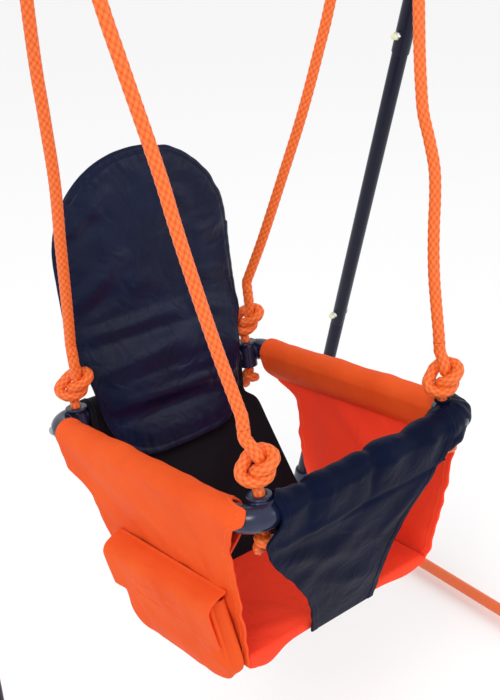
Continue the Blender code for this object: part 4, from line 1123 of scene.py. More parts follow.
@dataclass
class SeatRing:
    """The ring of the seat: four tubes in four moulded corners, each with a collar for its rope."""

    sizes: SwingSizes = SwingSizes()
    radius: float = 0.011
    wall: float = 0.0012
    corner_radius: float = 0.014
    socket: float = 0.022
    collar_radius: float = 0.0125
    rim: float = 0.0042
    rim_width: float = 0.0022
    bore: float = 0.0058
    plug_radius: float = 0.0056
    plug_dome: float = 0.006

    def build(self) -> None:
        """Make the tubes, the corners and the plugs."""
        side_half = self.sizes.cross_tube_y - self.sizes.bend
        cross_half = self.sizes.rope_x - self.collar_radius
        for side in Side:
            origin = (side.value * self.sizes.side_tube_x, 0.0, self.sizes.ring_z)
            self.tube(f"{side.word}_side_tube", along((0.0, 1.0, 0.0), origin, SEAT), side_half)
            for end in End:
                self.corner(side, end)
            self.plug(side)
        for end in End:
            origin = (0.0, end.value * self.sizes.cross_tube_y, self.sizes.ring_z)
            self.tube(f"{end.word}_tube", along((1.0, 0.0, 0.0), origin, SEAT), cross_half)

    def tube(self, node: str, place: Place, half: float) -> None:
        """One tube of the ring."""
        profile = tube_section(self.radius, self.radius - self.wall, half, -half)
        tube = turned(f"{node}_steel", place, profile, ring=True)
        show(tube, Body.SWING, Finishes.navy_steel, node)

    def corner(self, side: Side, end: End) -> None:
        """A corner: an elbow with a lip round each socket, and the collar, moulded in one.

        Args:
            side: the child's side.
            end: the front or the rear.
        """
        s = self.sizes
        flip = np.array([side.value, end.value, 1.0])
        bend_x, bend_y = s.side_tube_x - s.bend, s.cross_tube_y - s.bend
        angle = np.linspace(0.0, math.pi / 2, 24)
        stop = s.rope_x - self.collar_radius - self.socket
        arc = stacked(bend_x + s.bend * np.cos(angle), bend_y + s.bend * np.sin(angle), s.ring_z)
        first = stacked(s.side_tube_x, np.linspace(bend_y - self.socket, bend_y, 15)[:-1], s.ring_z)
        last = stacked(np.linspace(bend_x, stop, 21)[1:], s.cross_tube_y, s.ring_z)
        line = np.concatenate([first, arc, last])
        away = np.minimum(run_lengths(line[None], 1)[0], run_lengths(line[None, ::-1], 1)[0][::-1])
        radius = self.corner_radius + 0.0007 * np.exp(-(((away - 0.0018) / 0.0012) ** 2))
        elbow = swept("elbow", SEAT, line * flip, radius)
        rim = self.collar_radius + self.rim_width * 0.4
        outer = self.collar_radius
        profile = [
            (self.bore, 0.0), (outer, 0.0), (rim, -self.rim * 0.35), (outer, -self.rim),
            (outer - self.rim_width, -self.rim * 1.5), (outer, s.collar_foot), (self.bore, s.collar_foot)]
        origin = (side.value * self.sizes.rope_x, end.value * self.sizes.rope_y, 0.0)
        collar = turned("collar", along((0.0, 0.0, 1.0), origin, SEAT), profile, 0.0012, ring=True)
        body = moulded(f"{side.word}_{end.word}_corner_moulding", elbow, collar, voxel=0.0008)
        show(body, Body.SWING, Finishes.navy_plastic, f"{side.word}_{end.word}_corner")

    def plug(self, side: Side) -> None:
        """The domed plug in the outer side of a rear corner.

        Args:
            side: the child's side.
        """
        s = self.sizes
        out = s.side_tube_x - s.bend + math.sqrt(
            (s.bend + self.corner_radius) ** 2 - (s.rope_y - s.cross_tube_y + s.bend) ** 2)
        origin = (side.value * (out - 0.0033), s.rope_y, s.ring_z)
        profile = [(0.0, self.plug_dome), (self.plug_radius * 0.6, self.plug_dome * 0.88),
                   (self.plug_radius * 0.92, self.plug_dome * 0.55), (self.plug_radius, 0.0003),
                   (0.003, 0.0003), (0.003, -0.009), (0.0, -0.009)]
        dome = turned(f"{side.word}_plug_dome", along((side.value, 0.0, 0.0), origin, SEAT), profile, 0.001)
        show(dome, Body.SWING, Finishes.grey_plastic, f"{side.word}_corner_plug")


# Stand


@dataclass(frozen=True)
class StandSizes:
    """The sizes of the stand."""

    bar_z: float = 1.39
    bar_half: float = 0.368
    bar_radius: float = 0.016
    bar_wall: float = 0.0015
    leg_top: Triple = (0.387, 0.03, 1.397)
    leg_foot: Triple = (0.566, 0.566, 0.02)
    leg_start: float = 0.024
    upper_end: float = 0.479
    middle_end: float = 1.009
    overlap: float = 0.06
    upper_radius: float = 0.0125
    middle_radius: float = 0.0111
    wall: float = 0.0011
    neck: float = 0.052
    apex_bolt: float = 0.055
    upper_bolt: float = 0.4498
    lower_bolt: float = 0.9848
    sleeve_top: float = -0.012
    sleeve_end: float = 0.082
    sleeve_wall: float = 0.0027
    bracket_wall: float = 0.0032
    bar_sleeve: float = 0.046
    end_wall: float = 0.026
    bar_bolt_inset: float = 0.022
    gusset: float = 0.008
    gusset_drop: float = 0.058
    floor_bar_radius: float = 0.0096
    foot_radius: float = 0.028
    foot_height: float = 0.013
    foot_sleeve: float = 0.06
    foot_bar_sleeve: float = 0.052
    foot_bar_stop: float = 0.018
    foot_wall: float = 0.0034
    leg_stop: float = 0.028
    gap: float = 0.0003

    @property
    def leg_length(self) -> float:
        """From the top of a leg's line to its foot."""
        return float(np.linalg.norm(np.subtract(self.leg_top, self.leg_foot)))


@dataclass
class BoltSet:
    """A bolt with a domed head, a hexagon nut and an ivory cap on its end."""

    sink: float = 0.95
    head_radius: float = 0.0058
    head: float = 0.004
    washer: float = 0.0006
    nut_radius: float = 0.0058
    nut: float = 0.005
    radius: float = 0.003
    cap_radius: float = 0.0046
    cap: float = 0.0072

    def build(self, name: str, places: Sequence[tuple[Place, float]]) -> None:
        """Make the bolts at places whose Z points to the head, each with half the grip it has.

        Args:
            name: what the objects' names start with.
            places: (frame, half the grip) pairs.
        """
        steel, caps = [], []
        for place, half_grip in places:
            seat = half_grip * self.sink
            low = -(seat + self.nut)
            head = [(0.0, seat + self.head), (self.head_radius * 0.8, seat + self.head),
                    (self.head_radius, seat + self.head * 0.5), (self.head_radius, seat),
                    (self.radius, seat - 0.001), (0.0, seat - 0.001)]
            steel.append(turned("head", place, head, 0.0012, sides=32))
            washer = rod_section(self.head_radius * 1.22, seat + self.washer, seat - self.washer)
            steel.append(turned("washer", place, washer, 0.0002, sides=32))
            nut = rod_section(self.nut_radius, -seat, low)
            steel.append(turned("nut", place, nut, 0.0005, squareness=hexagon))
            cap = [(0.0, low + 0.001), (self.cap_radius, low + 0.001), (self.cap_radius, low - self.cap * 0.55),
                   (self.cap_radius * 0.7, low - self.cap * 0.88), (0.0, low - self.cap)]
            caps.append(turned("cap", place, cap, 0.0012, sides=32))
        show(merged(f"{name}_bolts", *steel), Body.STAND, Finishes.zinc)
        show(merged(f"{name}_caps", *caps), Body.STAND, Finishes.ivory_plastic)


@dataclass
class Stand:
    """The frame: a top bar between two moulded apex brackets, four bolted legs, feet and floor bars."""

    sizes: StandSizes = StandSizes()

    def build(self) -> None:
        """Make every piece of the frame."""
        self.top_bar()
        for side in Side:
            self.apex_bracket(side)
            self.floor_bar(side)
            for end in End:
                self.leg(side, end)
                self.foot(side, end)

    def leg_place(self, side: Side, end: End) -> Place:
        """The frame of one leg: Z up the tube from the top end, X outwards."""
        s = self.sizes
        flip = np.array([side.value, end.value, 1.0])
        top = np.array(s.leg_top) * flip
        return Place(top, axes(top - np.array(s.leg_foot) * flip, (side.value, 0.0, 0.0)))

    def bolt_place(self, leg: Place, place: float) -> Place:
        """The frame of a bolt through a leg: its Z points outwards."""
        return leg.inner((0.0, 0.0, -place), axes((1.0, 0.0, 0.0), (0.0, 0.3, -1.0)))

    def pipe(self, name: str, place: Place, radius: float, low: float, high: float, wall: float) -> Object:
        """A tube with eased ends."""
        return turned(name, place, tube_section(radius, radius - wall, high, low), 0.0006, ring=True)

    def leg(self, side: Side, end: End) -> None:
        """The three tubes of a leg and their bolts.

        Args:
            side: the child's side.
            end: the front or the rear.
        """
        s = self.sizes
        word = f"{side.word}_{end.word}"
        leg = self.leg_place(side, end)
        upper = self.pipe(f"{word}_upper_tube", leg, s.upper_radius, -s.upper_end, -s.leg_start, s.wall)
        middle = self.pipe(
            f"{word}_middle_tube", leg, s.middle_radius, -s.middle_end, -s.upper_end + s.overlap, s.wall)
        foot = -s.leg_length + s.leg_stop + s.gap
        neck = s.middle_radius - 0.0013
        shoulder = -s.middle_end - s.gap
        profile = [(neck, shoulder + s.neck), (neck, shoulder + 0.0006), (s.middle_radius, shoulder - 0.0006),
                   (s.middle_radius, foot), (neck - 0.0008, foot), (neck - 0.0008, shoulder + s.neck)]
        lower = turned(f"{word}_lower_tube", leg, profile, 0.0006, ring=True)
        for piece, part in ((upper, "upper"), (middle, "middle"), (lower, "lower")):
            show(piece, Body.STAND, Finishes.navy_steel, f"{word}_{part}_leg")
        sleeve = s.upper_radius + s.gap + s.sleeve_wall
        BoltSet().build(word, [
            (self.bolt_place(leg, s.apex_bolt), sleeve),
            (self.bolt_place(leg, s.upper_bolt), s.upper_radius),
            (self.bolt_place(leg, s.lower_bolt), s.middle_radius)])

    def top_bar(self) -> None:
        """The round bar between the two pairs of legs, and the bolts that pin it."""
        s = self.sizes
        place = along((1.0, 0.0, 0.0), (0.0, 0.0, s.bar_z))
        bar = self.pipe("top_bar_tube", place, s.bar_radius, -s.bar_half, s.bar_half, s.bar_wall)
        show(bar, Body.STAND, Finishes.navy_steel, "top_bar")
        outer = s.bar_radius + s.gap + s.bracket_wall
        x = s.bar_half - s.bar_bolt_inset
        BoltSet().build("top_bar", [
            (along((0.0, 0.0, 1.0), (side.value * x, 0.0, s.bar_z)), outer) for side in Side])

    def apex_bracket(self, side: Side) -> None:
        """The moulded junction of the bar with its two legs: three sleeves and a web.

        Args:
            side: the child's side.
        """
        s = self.sizes
        outer = s.bar_radius + s.gap + s.bracket_wall
        start, stop = s.bar_half - s.bar_sleeve, s.bar_half + s.end_wall
        axis = along((side.value, 0.0, 0.0), (0.0, 0.0, s.bar_z))
        pieces = [turned("cup", axis, rod_section(outer, stop, start), 0.005)]
        profile = rod_section(s.upper_radius + s.gap + s.sleeve_wall, -s.sleeve_top, -s.sleeve_end)
        for end in End:
            pieces.append(turned("sleeve", self.leg_place(side, end), profile, 0.005))
        slope = (s.leg_foot[1] - s.leg_top[1]) / (s.leg_top[2] - s.leg_foot[2])
        low = s.leg_top[1] + slope * s.gusset_drop
        angle = np.linspace(math.pi, 0.0, 15)
        arch = stacked(low * np.cos(angle), s.bar_z - s.gusset_drop + low * 0.45 * np.sin(angle))
        outline = [(s.leg_top[1], s.bar_z), (-s.leg_top[1], s.bar_z)] + arch.tolist()
        web = Place(np.array([side.value * (s.leg_top[0] + 0.002), 0.0, 0.0]), upright_turn())
        pieces.append(plate("web", web, outline, -s.gusset / 2, s.gusset / 2))
        body = moulded(f"{side.word}_apex_moulding", *pieces, voxel=0.0012, rounds=10)
        show(body, Body.STAND, Finishes.navy_plastic, f"{side.word}_apex_bracket")

    def floor_bar(self, side: Side) -> None:
        """The orange bar near the floor."""
        s = self.sizes
        half = s.leg_foot[1] - s.foot_bar_stop - s.gap
        place = along((0.0, 1.0, 0.0), (side.value * s.leg_foot[0], 0.0, s.leg_foot[2]))
        bar = self.pipe(f"{side.word}_floor_tube", place, s.floor_bar_radius, -half, half, 0.001)
        show(bar, Body.STAND, Finishes.orange_steel, f"{side.word}_floor_bar")

    def foot(self, side: Side, end: End) -> None:
        """A foot: a round sole, a sleeve for the leg and one for the floor bar, moulded in one.

        Args:
            side: the child's side.
            end: the front or the rear.
        """
        s = self.sizes
        place = np.array([side.value * s.leg_foot[0], end.value * s.leg_foot[1], 0.0])
        sole = turned("sole", Place(place, np.eye(3)), [
            (0.0, s.foot_height), (s.foot_radius * 0.8, s.foot_height), (s.foot_radius, s.foot_height * 0.35),
            (s.foot_radius, 0.0), (0.0, 0.0)], 0.002)
        outer = s.middle_radius + s.gap + s.foot_wall
        low, high = -s.leg_length - 0.002, s.foot_sleeve - s.leg_length
        leg = turned("sleeve", self.leg_place(side, end), rod_section(outer, high, low), 0.002)
        bar_outer = s.floor_bar_radius + s.gap + s.foot_wall
        axis = along((0.0, end.value, 0.0), place + np.array([0.0, 0.0, s.leg_foot[2]]))
        bar = turned("bar_sleeve", axis, [
            (0.0, bar_outer * 0.9), (bar_outer * 0.7, bar_outer * 0.7), (bar_outer, 0.0),
            (bar_outer, -s.foot_bar_sleeve), (0.0, -s.foot_bar_sleeve)], 0.0015)
        body = moulded(f"{side.word}_{end.word}_foot_moulding", sole, leg, bar, voxel=0.0011, rounds=5)
        show(body, Body.STAND, Finishes.navy_plastic, f"{side.word}_{end.word}_foot")


def upright_turn() -> Array:
    """A turn for plates that stand square to X: outline x along Y, outline y along Z."""
    return np.array([[0.0, 0.0, 1.0], [1.0, 0.0, 0.0], [0.0, 1.0, 0.0]])


@dataclass
class Hanger:
    """The fittings over one pair of ropes: bracket, bolt, bush, link, saddle and rivet."""

    side: Side
    sizes: SwingSizes = SwingSizes()
    stand: StandSizes = StandSizes()
    sleeve_half: float = 0.02
    sleeve_wall: float = 0.0025
    ear_inner: float = 0.011
    ear: float = 0.003
    ear_radius: float = 0.011
    pivot_radius: float = 0.004
    head: float = 0.0045
    head_radius: float = 0.0078
    nut_radius: float = 0.0085
    nut: float = 0.005
    bush_wall: float = 0.0026
    barrel_wall: float = 0.0028
    barrel_half: float = 0.0095
    bridge_drop: float = 0.0128
    bridge: float = 0.003
    cheek_inner: float = 0.0105
    cheek: float = 0.003
    cheek_radius: float = 0.012
    saddle_radius: float = 0.027
    rivet_radius: float = 0.003
    rivet_head: float = 0.0052

    def build(self) -> None:
        """Make the hanger from the bar down to the saddle."""
        self.bracket()
        self.pivot()
        self.link()
        self.saddle()

    @property
    def x(self) -> float:
        """Where the hanger is along the bar."""
        return self.side.value * self.sizes.hanger_x

    def belt(self, upper: float, upper_radius: float, lower: float, lower_radius: float) -> Pairs:
        """The outline of a belt round two circles that stand one above the other.

        Args:
            upper: the height of the upper circle's middle.
            upper_radius: its radius.
            lower: the height of the lower one's.
            lower_radius: its radius.

        Returns:
            (across, up) pairs: both arcs, between the lines that touch both circles.
        """
        lift = math.asin((upper_radius - lower_radius) / (upper - lower))
        share = np.linspace(0.0, 1.0, 19)
        over = -lift + (math.pi + 2 * lift) * share
        under = math.pi + lift + (math.pi - 2 * lift) * share
        x = np.concatenate([upper_radius * np.cos(over), lower_radius * np.cos(under)])
        y = np.concatenate([upper + upper_radius * np.sin(over), lower + lower_radius * np.sin(under)])
        return list(zip(x.tolist(), y.tolist()))

    def bracket(self) -> None:
        """The sleeve on the top bar with its two ears."""
        bore = self.stand.bar_radius + self.sizes.gap
        outer = bore + self.sleeve_wall
        profile = tube_section(outer, bore, self.sleeve_half, -self.sleeve_half)
        axis = along((1.0, 0.0, 0.0), (self.x, 0.0, self.stand.bar_z))
        pieces = [turned("sleeve", axis, profile, 0.0006, ring=True)]
        outline = self.belt(self.stand.bar_z, outer * 0.96, PIVOT_Z, self.ear_radius)
        for way in (-1, 1):
            place = Place(np.array([self.x + way * (self.ear_inner + self.ear / 2), 0.0, 0.0]), upright_turn())
            pieces.append(plate("ear", place, outline, -self.ear / 2, self.ear / 2))
        body = merged(f"{self.side.word}_hanger_steel", *pieces)
        show(body, Body.STAND, Finishes.dark_steel, f"{self.side.word}_hanger_bracket")

    def pivot(self) -> None:
        """The pivot bolt with its nut, and the bush on it."""
        seat = self.ear_inner + self.ear + self.sizes.gap
        tail = -(seat + self.nut + 0.002)
        place = along((self.side.value, 0.0, 0.0), (self.x, 0.0, PIVOT_Z))
        r = self.pivot_radius
        head, top = self.head_radius, seat + self.head
        bolt = turned("bolt", place, [
            (0.0, top), (head * 0.8, top), (head, seat + self.head * 0.55), (head, seat), (r, seat), (r, tail),
            (0.0, tail)], 0.0008)
        section = rod_section(self.nut_radius, -seat, -seat - self.nut)
        nut = turned("nut", place, section, 0.0006, squareness=hexagon)
        body = merged(f"{self.side.word}_pivot_bolt_and_nut", bolt, nut)
        show(body, Body.STAND, Finishes.zinc, f"{self.side.word}_pivot_bolt")
        bore, half = r + self.sizes.gap, self.ear_inner - self.sizes.gap
        outer = bore + self.bush_wall
        bush = turned(f"{self.side.word}_bush", place, tube_section(outer, bore, half, -half), ring=True)
        show(bush, Body.SWING, Finishes.navy_plastic, f"{self.side.word}_pivot_bush")

    def link(self) -> None:
        """The turning link: a barrel, a bridge and two cheeks, welded."""
        bore = self.pivot_radius + self.sizes.gap * 2 + self.bush_wall
        outer = bore + self.barrel_wall
        axis = along((1.0, 0.0, 0.0), (self.x, 0.0, PIVOT_Z))
        half = self.barrel_half
        pieces = [turned("barrel", axis, tube_section(outer, bore, half, -half), ring=True)]
        place = Place(np.array([self.x, 0.0, PIVOT_Z]), upright_turn())
        low = -self.bridge_drop - self.bridge
        neck, wide = self.barrel_half * 0.7, self.cheek_inner + self.cheek * 0.8
        deep = self.cheek_radius * 0.85
        for name, out, high, half in (("neck", 0.006, -bore, neck), ("bridge", deep, -self.bridge_drop, wide)):
            outline = [(out, low), (out, high), (-out, high), (-out, low)]
            pieces.append(plate(name, place, outline, -half, half))
        r = self.cheek_radius
        outline = self.belt(-self.bridge_drop - r, r, -self.sizes.saddle_drop, r)
        half = self.cheek / 2
        for way in (-1, 1):
            cheek = place.inner((0.0, 0.0, way * (self.cheek_inner + half)))
            pieces.append(plate("cheek", cheek, outline, -half, half))
        body = merged(f"{self.side.word}_link_steel", *pieces)
        show(body, Body.SWING, Finishes.dark_steel, f"{self.side.word}_swing_link")

    def saddle(self) -> None:
        """The grooved saddle and its rivet."""
        axis = along((1.0, 0.0, 0.0), (self.x, 0.0, PIVOT_Z - self.sizes.saddle_drop))
        half = self.cheek_inner - self.sizes.gap
        groove = self.sizes.rope_diameter / 2 + self.sizes.gap * 2
        angle = np.linspace(0.12, math.pi - 0.12, 15)
        hollow = stacked(self.sizes.rope_turn - groove * np.sin(angle), groove * np.cos(angle)).tolist()
        r = self.saddle_radius
        bore = self.rivet_radius + 0.0003
        profile = [(r, half)] + hollow + [(r, -half), (bore, -half), (bore, half)]
        wheel = turned(f"{self.side.word}_saddle_moulding", axis, profile, 0.0004, sides=72, ring=True)
        show(wheel, Body.SWING, Finishes.navy_plastic, f"{self.side.word}_rope_saddle")
        seat, head, low = self.cheek_inner + self.cheek + self.sizes.gap, 0.0022, self.rivet_head
        rivet = turned(f"{self.side.word}_rivet", axis, [
            (0.0, seat + head), (low * 0.6, seat + head), (low, seat), (self.rivet_radius, seat),
            (self.rivet_radius, -seat), (low, -seat), (low * 0.6, -seat - head), (0.0, -seat - head)], 0.0008)
        show(rivet, Body.SWING, Finishes.zinc, f"{self.side.word}_saddle_rivet")


# Cloth


@dataclass(frozen=True)
class Fold:
    """A soft ridge between two places of a cloth, or a crease where its height is below 0."""

    start: tuple[float, float]
    stop: tuple[float, float]
    width: float
    height: float

    def lift(self, along: Array, up: Array) -> Array:
        """How far the fold lifts each place: a bell across its line that fades towards both ends.

        Args:
            along: first coordinate of each place.
            up: second coordinate.

        Returns:
            The lift, in metres.
        """
        start, run = np.array(self.start), np.array(self.stop) - np.array(self.start)
        share = ((along - start[0]) * run[0] + (up - start[1]) * run[1]) / (run @ run)
        inside = np.clip(share, 0.0, 1.0)
        away = np.hypot(along - start[0] - run[0] * inside, up - start[1] - run[1] * inside)
        fade = np.sin(math.pi * np.clip(share * 0.86 + 0.07, 0.0, 1.0)) ** 0.7
        return self.height * fade * np.exp(-((away / self.width) ** 2))


def folds_mm(*rows: tuple[float, ...]) -> tuple[Fold, ...]:
    """Folds from rows in millimetres: where each starts and stops, its width and its height."""
    return tuple(Fold((a, b), (c, d), width, height) for a, b, c, d, width, height in np.array(rows) / 1000)


def folded(folds: Sequence[Fold], along: Array, up: Array) -> Array:
    """The lift of several folds together."""
    total = np.zeros_like(along)
    for one in folds:
        total = total + one.lift(along, up)
    return total


def wobble(value: Array, length: float, seed: int) -> Array:
    """A smooth uneven wave between about -1 and 1: four sines of unlike lengths.

    Args:
        value: where the wave is read.
        length: its main wavelength.
        seed: picks the sines' phases.

    Returns:
        The wave at each place.
    """
    phases = np.random.default_rng(seed).uniform(0, 2 * math.pi, 4)
    total = np.zeros_like(value)
    for factor, phase in zip((1.0, 1.47, 0.71, 2.3), phases):
        total = total + np.sin(2 * math.pi * value / (length * factor) + phase)
    return total / 2.6


def smooth_table(table: Pairs, value: Array) -> Array:
    """The value between the pairs of a short table, on a smooth curve through them."""
    line = smooth_points(np.array(sorted(table)), 12)
    return np.interp(value, line[:, 0], line[:, 1])


def edge_shares(count: int) -> Array:
    """Shares from 0 to 1 that lie closer together near both ends, where a hem is."""
    t = np.linspace(0.0, 1.0, count)
    return t - np.sin(2 * math.pi * t) / (2 * math.pi) * 0.82


def grid_normals(grid: Array) -> Array:
    """The direction square to a grid at each of its points."""
    normal = np.cross(np.gradient(grid, axis=1), np.gradient(grid, axis=0))
    return normal / np.maximum(np.linalg.norm(normal, axis=2, keepdims=True), 1e-12)


def run_lengths(grid: Array, axis: int) -> Array:
    """The distance of each point of a grid from the grid's edge, along one of its axes."""
    steps = np.linalg.norm(np.diff(grid, axis=axis), axis=2)
    zero = np.zeros_like(steps[:1] if axis == 0 else steps[:, :1])
    return np.cumsum(np.concatenate([zero, steps], axis=axis), axis=axis)


@dataclass
class Cloth:
    """A cut sheet of cloth with hems: a grid of points on its middle surface.

    hem_sides names the grid's hemmed edges by the first letters of left, right, top and bottom.
    """

    name: str
    grid: Array
    thickness: float = 0.002
    hem_width: float = 0.0095
    hem_rise: float = 0.0011
    hem_sides: str = "lr"
    outer_first: bool = True
    stitch_inset: float = 0.0075
    stitch_pitch: float = 0.0042
    stitch_radius: float = 0.00036

    def edge_distances(self) -> dict[str, Array]:
        """How far each point is from each edge of the grid: left, right, top and bottom."""
        across, down = run_lengths(self.grid, 1), run_lengths(self.grid, 0)
        return {"l": across, "r": across[:, -1:] - across, "t": down, "b": down[-1:] - down}

    def half_thickness(self) -> Array:
        """Half the cloth's thickness at each point: more on a hem, and rounded off at its edge."""
        edges = self.edge_distances()
        away = np.min([edges[key] for key in self.hem_sides], axis=0)
        hem = self.hem_rise * (1 - smoothstep(self.hem_width - 0.0012, self.hem_width, away))
        half = (self.thickness + hem) / 2
        edge = np.clip(away / half, 0.0, 1.0)
        return half * np.maximum(np.sqrt(1 - (1 - edge) ** 2), 0.12)

    def shell(self, place: Place) -> Object:
        """The sheet with its thickness, as a closed mesh: two skins and a rim between them.

        Args:
            place: the frame of the grid.

        Returns:
            The mesh object.
        """
        rows, columns = self.grid.shape[:2]
        normal = grid_normals(self.grid) * self.half_thickness()[..., None]
        points = np.concatenate([(self.grid + normal).reshape(-1, 3), (self.grid - normal).reshape(-1, 3)])
        skin = grid_quads(rows, columns, False, False)
        index = np.arange(rows * columns).reshape(rows, columns)
        border = np.concatenate([index[0, :-1], index[:-1, -1], index[-1, :0:-1], index[:0:-1, 0]])
        after = np.roll(border, -1)
        rim = np.stack([border, after, after + rows * columns, border + rows * columns], axis=1)
        quads = np.concatenate([skin, skin[:, ::-1] + rows * columns, rim])
        flat = stacked(run_lengths(self.grid, 1), run_lengths(self.grid, 0)).reshape(-1, 2)
        uv = np.concatenate([flat, flat])[quads]
        sheet = mesh_object(self.name, place.points(points), quads, uv)
        # The inner skin is marked here so that its material paints light on it.
        inner = sheet.data.attributes.new("inner_skin", "FLOAT", "POINT")
        skins = [0.0, 0.5] if self.outer_first else [0.5, 0.0]
        inner.data.foreach_set("value", np.repeat(skins, rows * columns))
        return tidy_mesh(sheet)

    def show(
        self, place: Place, body: Body, node: str, finish: Finish, thread: Finish, held: str,
        rests_on: Sequence[str],
    ) -> None:
        """Show the sheet with stitches along its hems, and say the size that it was cut to.

        Args:
            place: the frame of the grid.
            body: the body that it moves with.
            node: the node that it stands for.
            finish: the cloth's finish.
            thread: the stitches' finish.
            held: how it is held; not used.
            rests_on: the nodes that it rests on; not used.
        """
        piece = show(self.shell(place), body, finish, node)
        seams = show(self.stitches(place), body, thread)
        wide, tall = run_lengths(self.grid, 1)[:, -1].max(), run_lengths(self.grid, 0)[-1].max()
        across, down = np.diff(self.grid, axis=1)[:-1], np.diff(self.grid, axis=0)[:, :-1]
        area = float(np.linalg.norm(np.cross(across, down), axis=2).sum())
        area = min(max(area, 0.31 * wide * tall), 0.99 * wide * tall)
        LOG.info("sheet %s: %.3f x %.3f m, %.4f square metres", piece.name, wide, tall, area)

    def stitches(self, place: Place) -> Object:
        """A row of stitches on the outer skin beside each hemmed edge.

        Args:
            place: the frame of the grid.

        Returns:
            All the stitches as one object.
        """
        normal = grid_normals(self.grid)
        skin = self.grid + normal * (self.half_thickness()[..., None] + self.stitch_radius * 0.3)
        lines = []
        for edge in self.hem_sides:
            away = self.edge_distances()[edge]
            if edge in "lr":
                lines.append(level_line(skin, normal, away, self.stitch_inset))
            else:
                turned_grids = (values.swapaxes(0, 1) for values in (skin, normal, away))
                lines.append(level_line(*turned_grids, self.stitch_inset))
        return stitch_rows(f"{self.name}_stitches", place, lines, self.stitch_pitch, self.stitch_radius)


def level_line(
    skin: Array, normal: Array, away: Array, level: float,
) -> tuple[Array, Array]:
    """The line on a grid where a distance that grows or falls along each row has one value.

    Args:
        skin: the grid's points.
        normal: its normals.
        away: the distance at each point.
        level: the value.

    Returns:
        A point and a normal for each row.
    """
    order = np.sign(away[:, -1:] - away[:, :1])
    column = np.clip(((away - level) * order < 0).sum(axis=1) - 1, 0, away.shape[1] - 2)
    row = np.arange(len(away))
    first, second = away[row, column], away[row, column + 1]
    share = np.clip((level - first) / np.where(second == first, 1.0, second - first), 0.0, 1.0)[:, None]
    point = skin[row, column] * (1 - share) + skin[row, column + 1] * share
    way = normal[row, column] * (1 - share) + normal[row, column + 1] * share
    return point, way


def stitch_rows(
    name: str, place: Place, lines: Sequence[tuple[Array, Array]], pitch: float, radius: float,
) -> Object:
    """Lockstitches along lines: each is a small loaf, six rings of six points about its run.

    Args:
        name: the object's name.
        place: the frame of the lines.
        lines: the points and the normals of each line.
        pitch: from one stitch to the next.
        radius: half the thread's thickness.

    Returns:
        The object.
    """
    reach = np.array([-0.5, -0.42, -0.2, 0.2, 0.42, 0.5]) * pitch * 0.78
    girth = np.array([0.25, 0.8, 1.0, 1.0, 0.8, 0.25]) * radius
    angle = round_angles(6)
    ring = stacked(np.cos(angle), np.sin(angle))
    body = grid_quads(6, 6, False, True)
    ends = np.array([[0, 1, 2, 3], [0, 3, 4, 5], [33, 32, 31, 30], [35, 34, 33, 30]])
    template = np.concatenate([body, ends])
    points, quads, count = [], [], 0
    for line, way in lines:
        length = line_length(line)
        number = max(2, int(length / pitch))
        marks = resampled(line, number)
        up = resampled(line, number, way)
        run = np.gradient(marks, axis=0)
        run /= np.linalg.norm(run, axis=1, keepdims=True)
        side = np.cross(up, run)
        side /= np.linalg.norm(side, axis=1, keepdims=True)
        up = np.cross(run, side)
        local = (
            marks[:, None, None]
            + reach[None, :, None, None] * run[:, None, None]
            + girth[None, :, None, None] * (
                ring[None, None, :, :1] * side[:, None, None] + ring[None, None, :, 1:] * up[:, None, None]))
        points.append(local.reshape(-1, 3))
        offsets = count + np.arange(number)[:, None, None] * 36
        quads.append((template[None] + offsets).reshape(-1, 4))
        count += number * 36
    obj = mesh_object(name, place.points(np.concatenate(points)), np.concatenate(quads))
    shape = bmesh.new()
    shape.from_mesh(obj.data)
    bmesh.ops.recalc_face_normals(shape, faces=shape.faces)
    shape.to_mesh(obj.data)
    shape.free()
    obj.data.shade_smooth()
    return obj


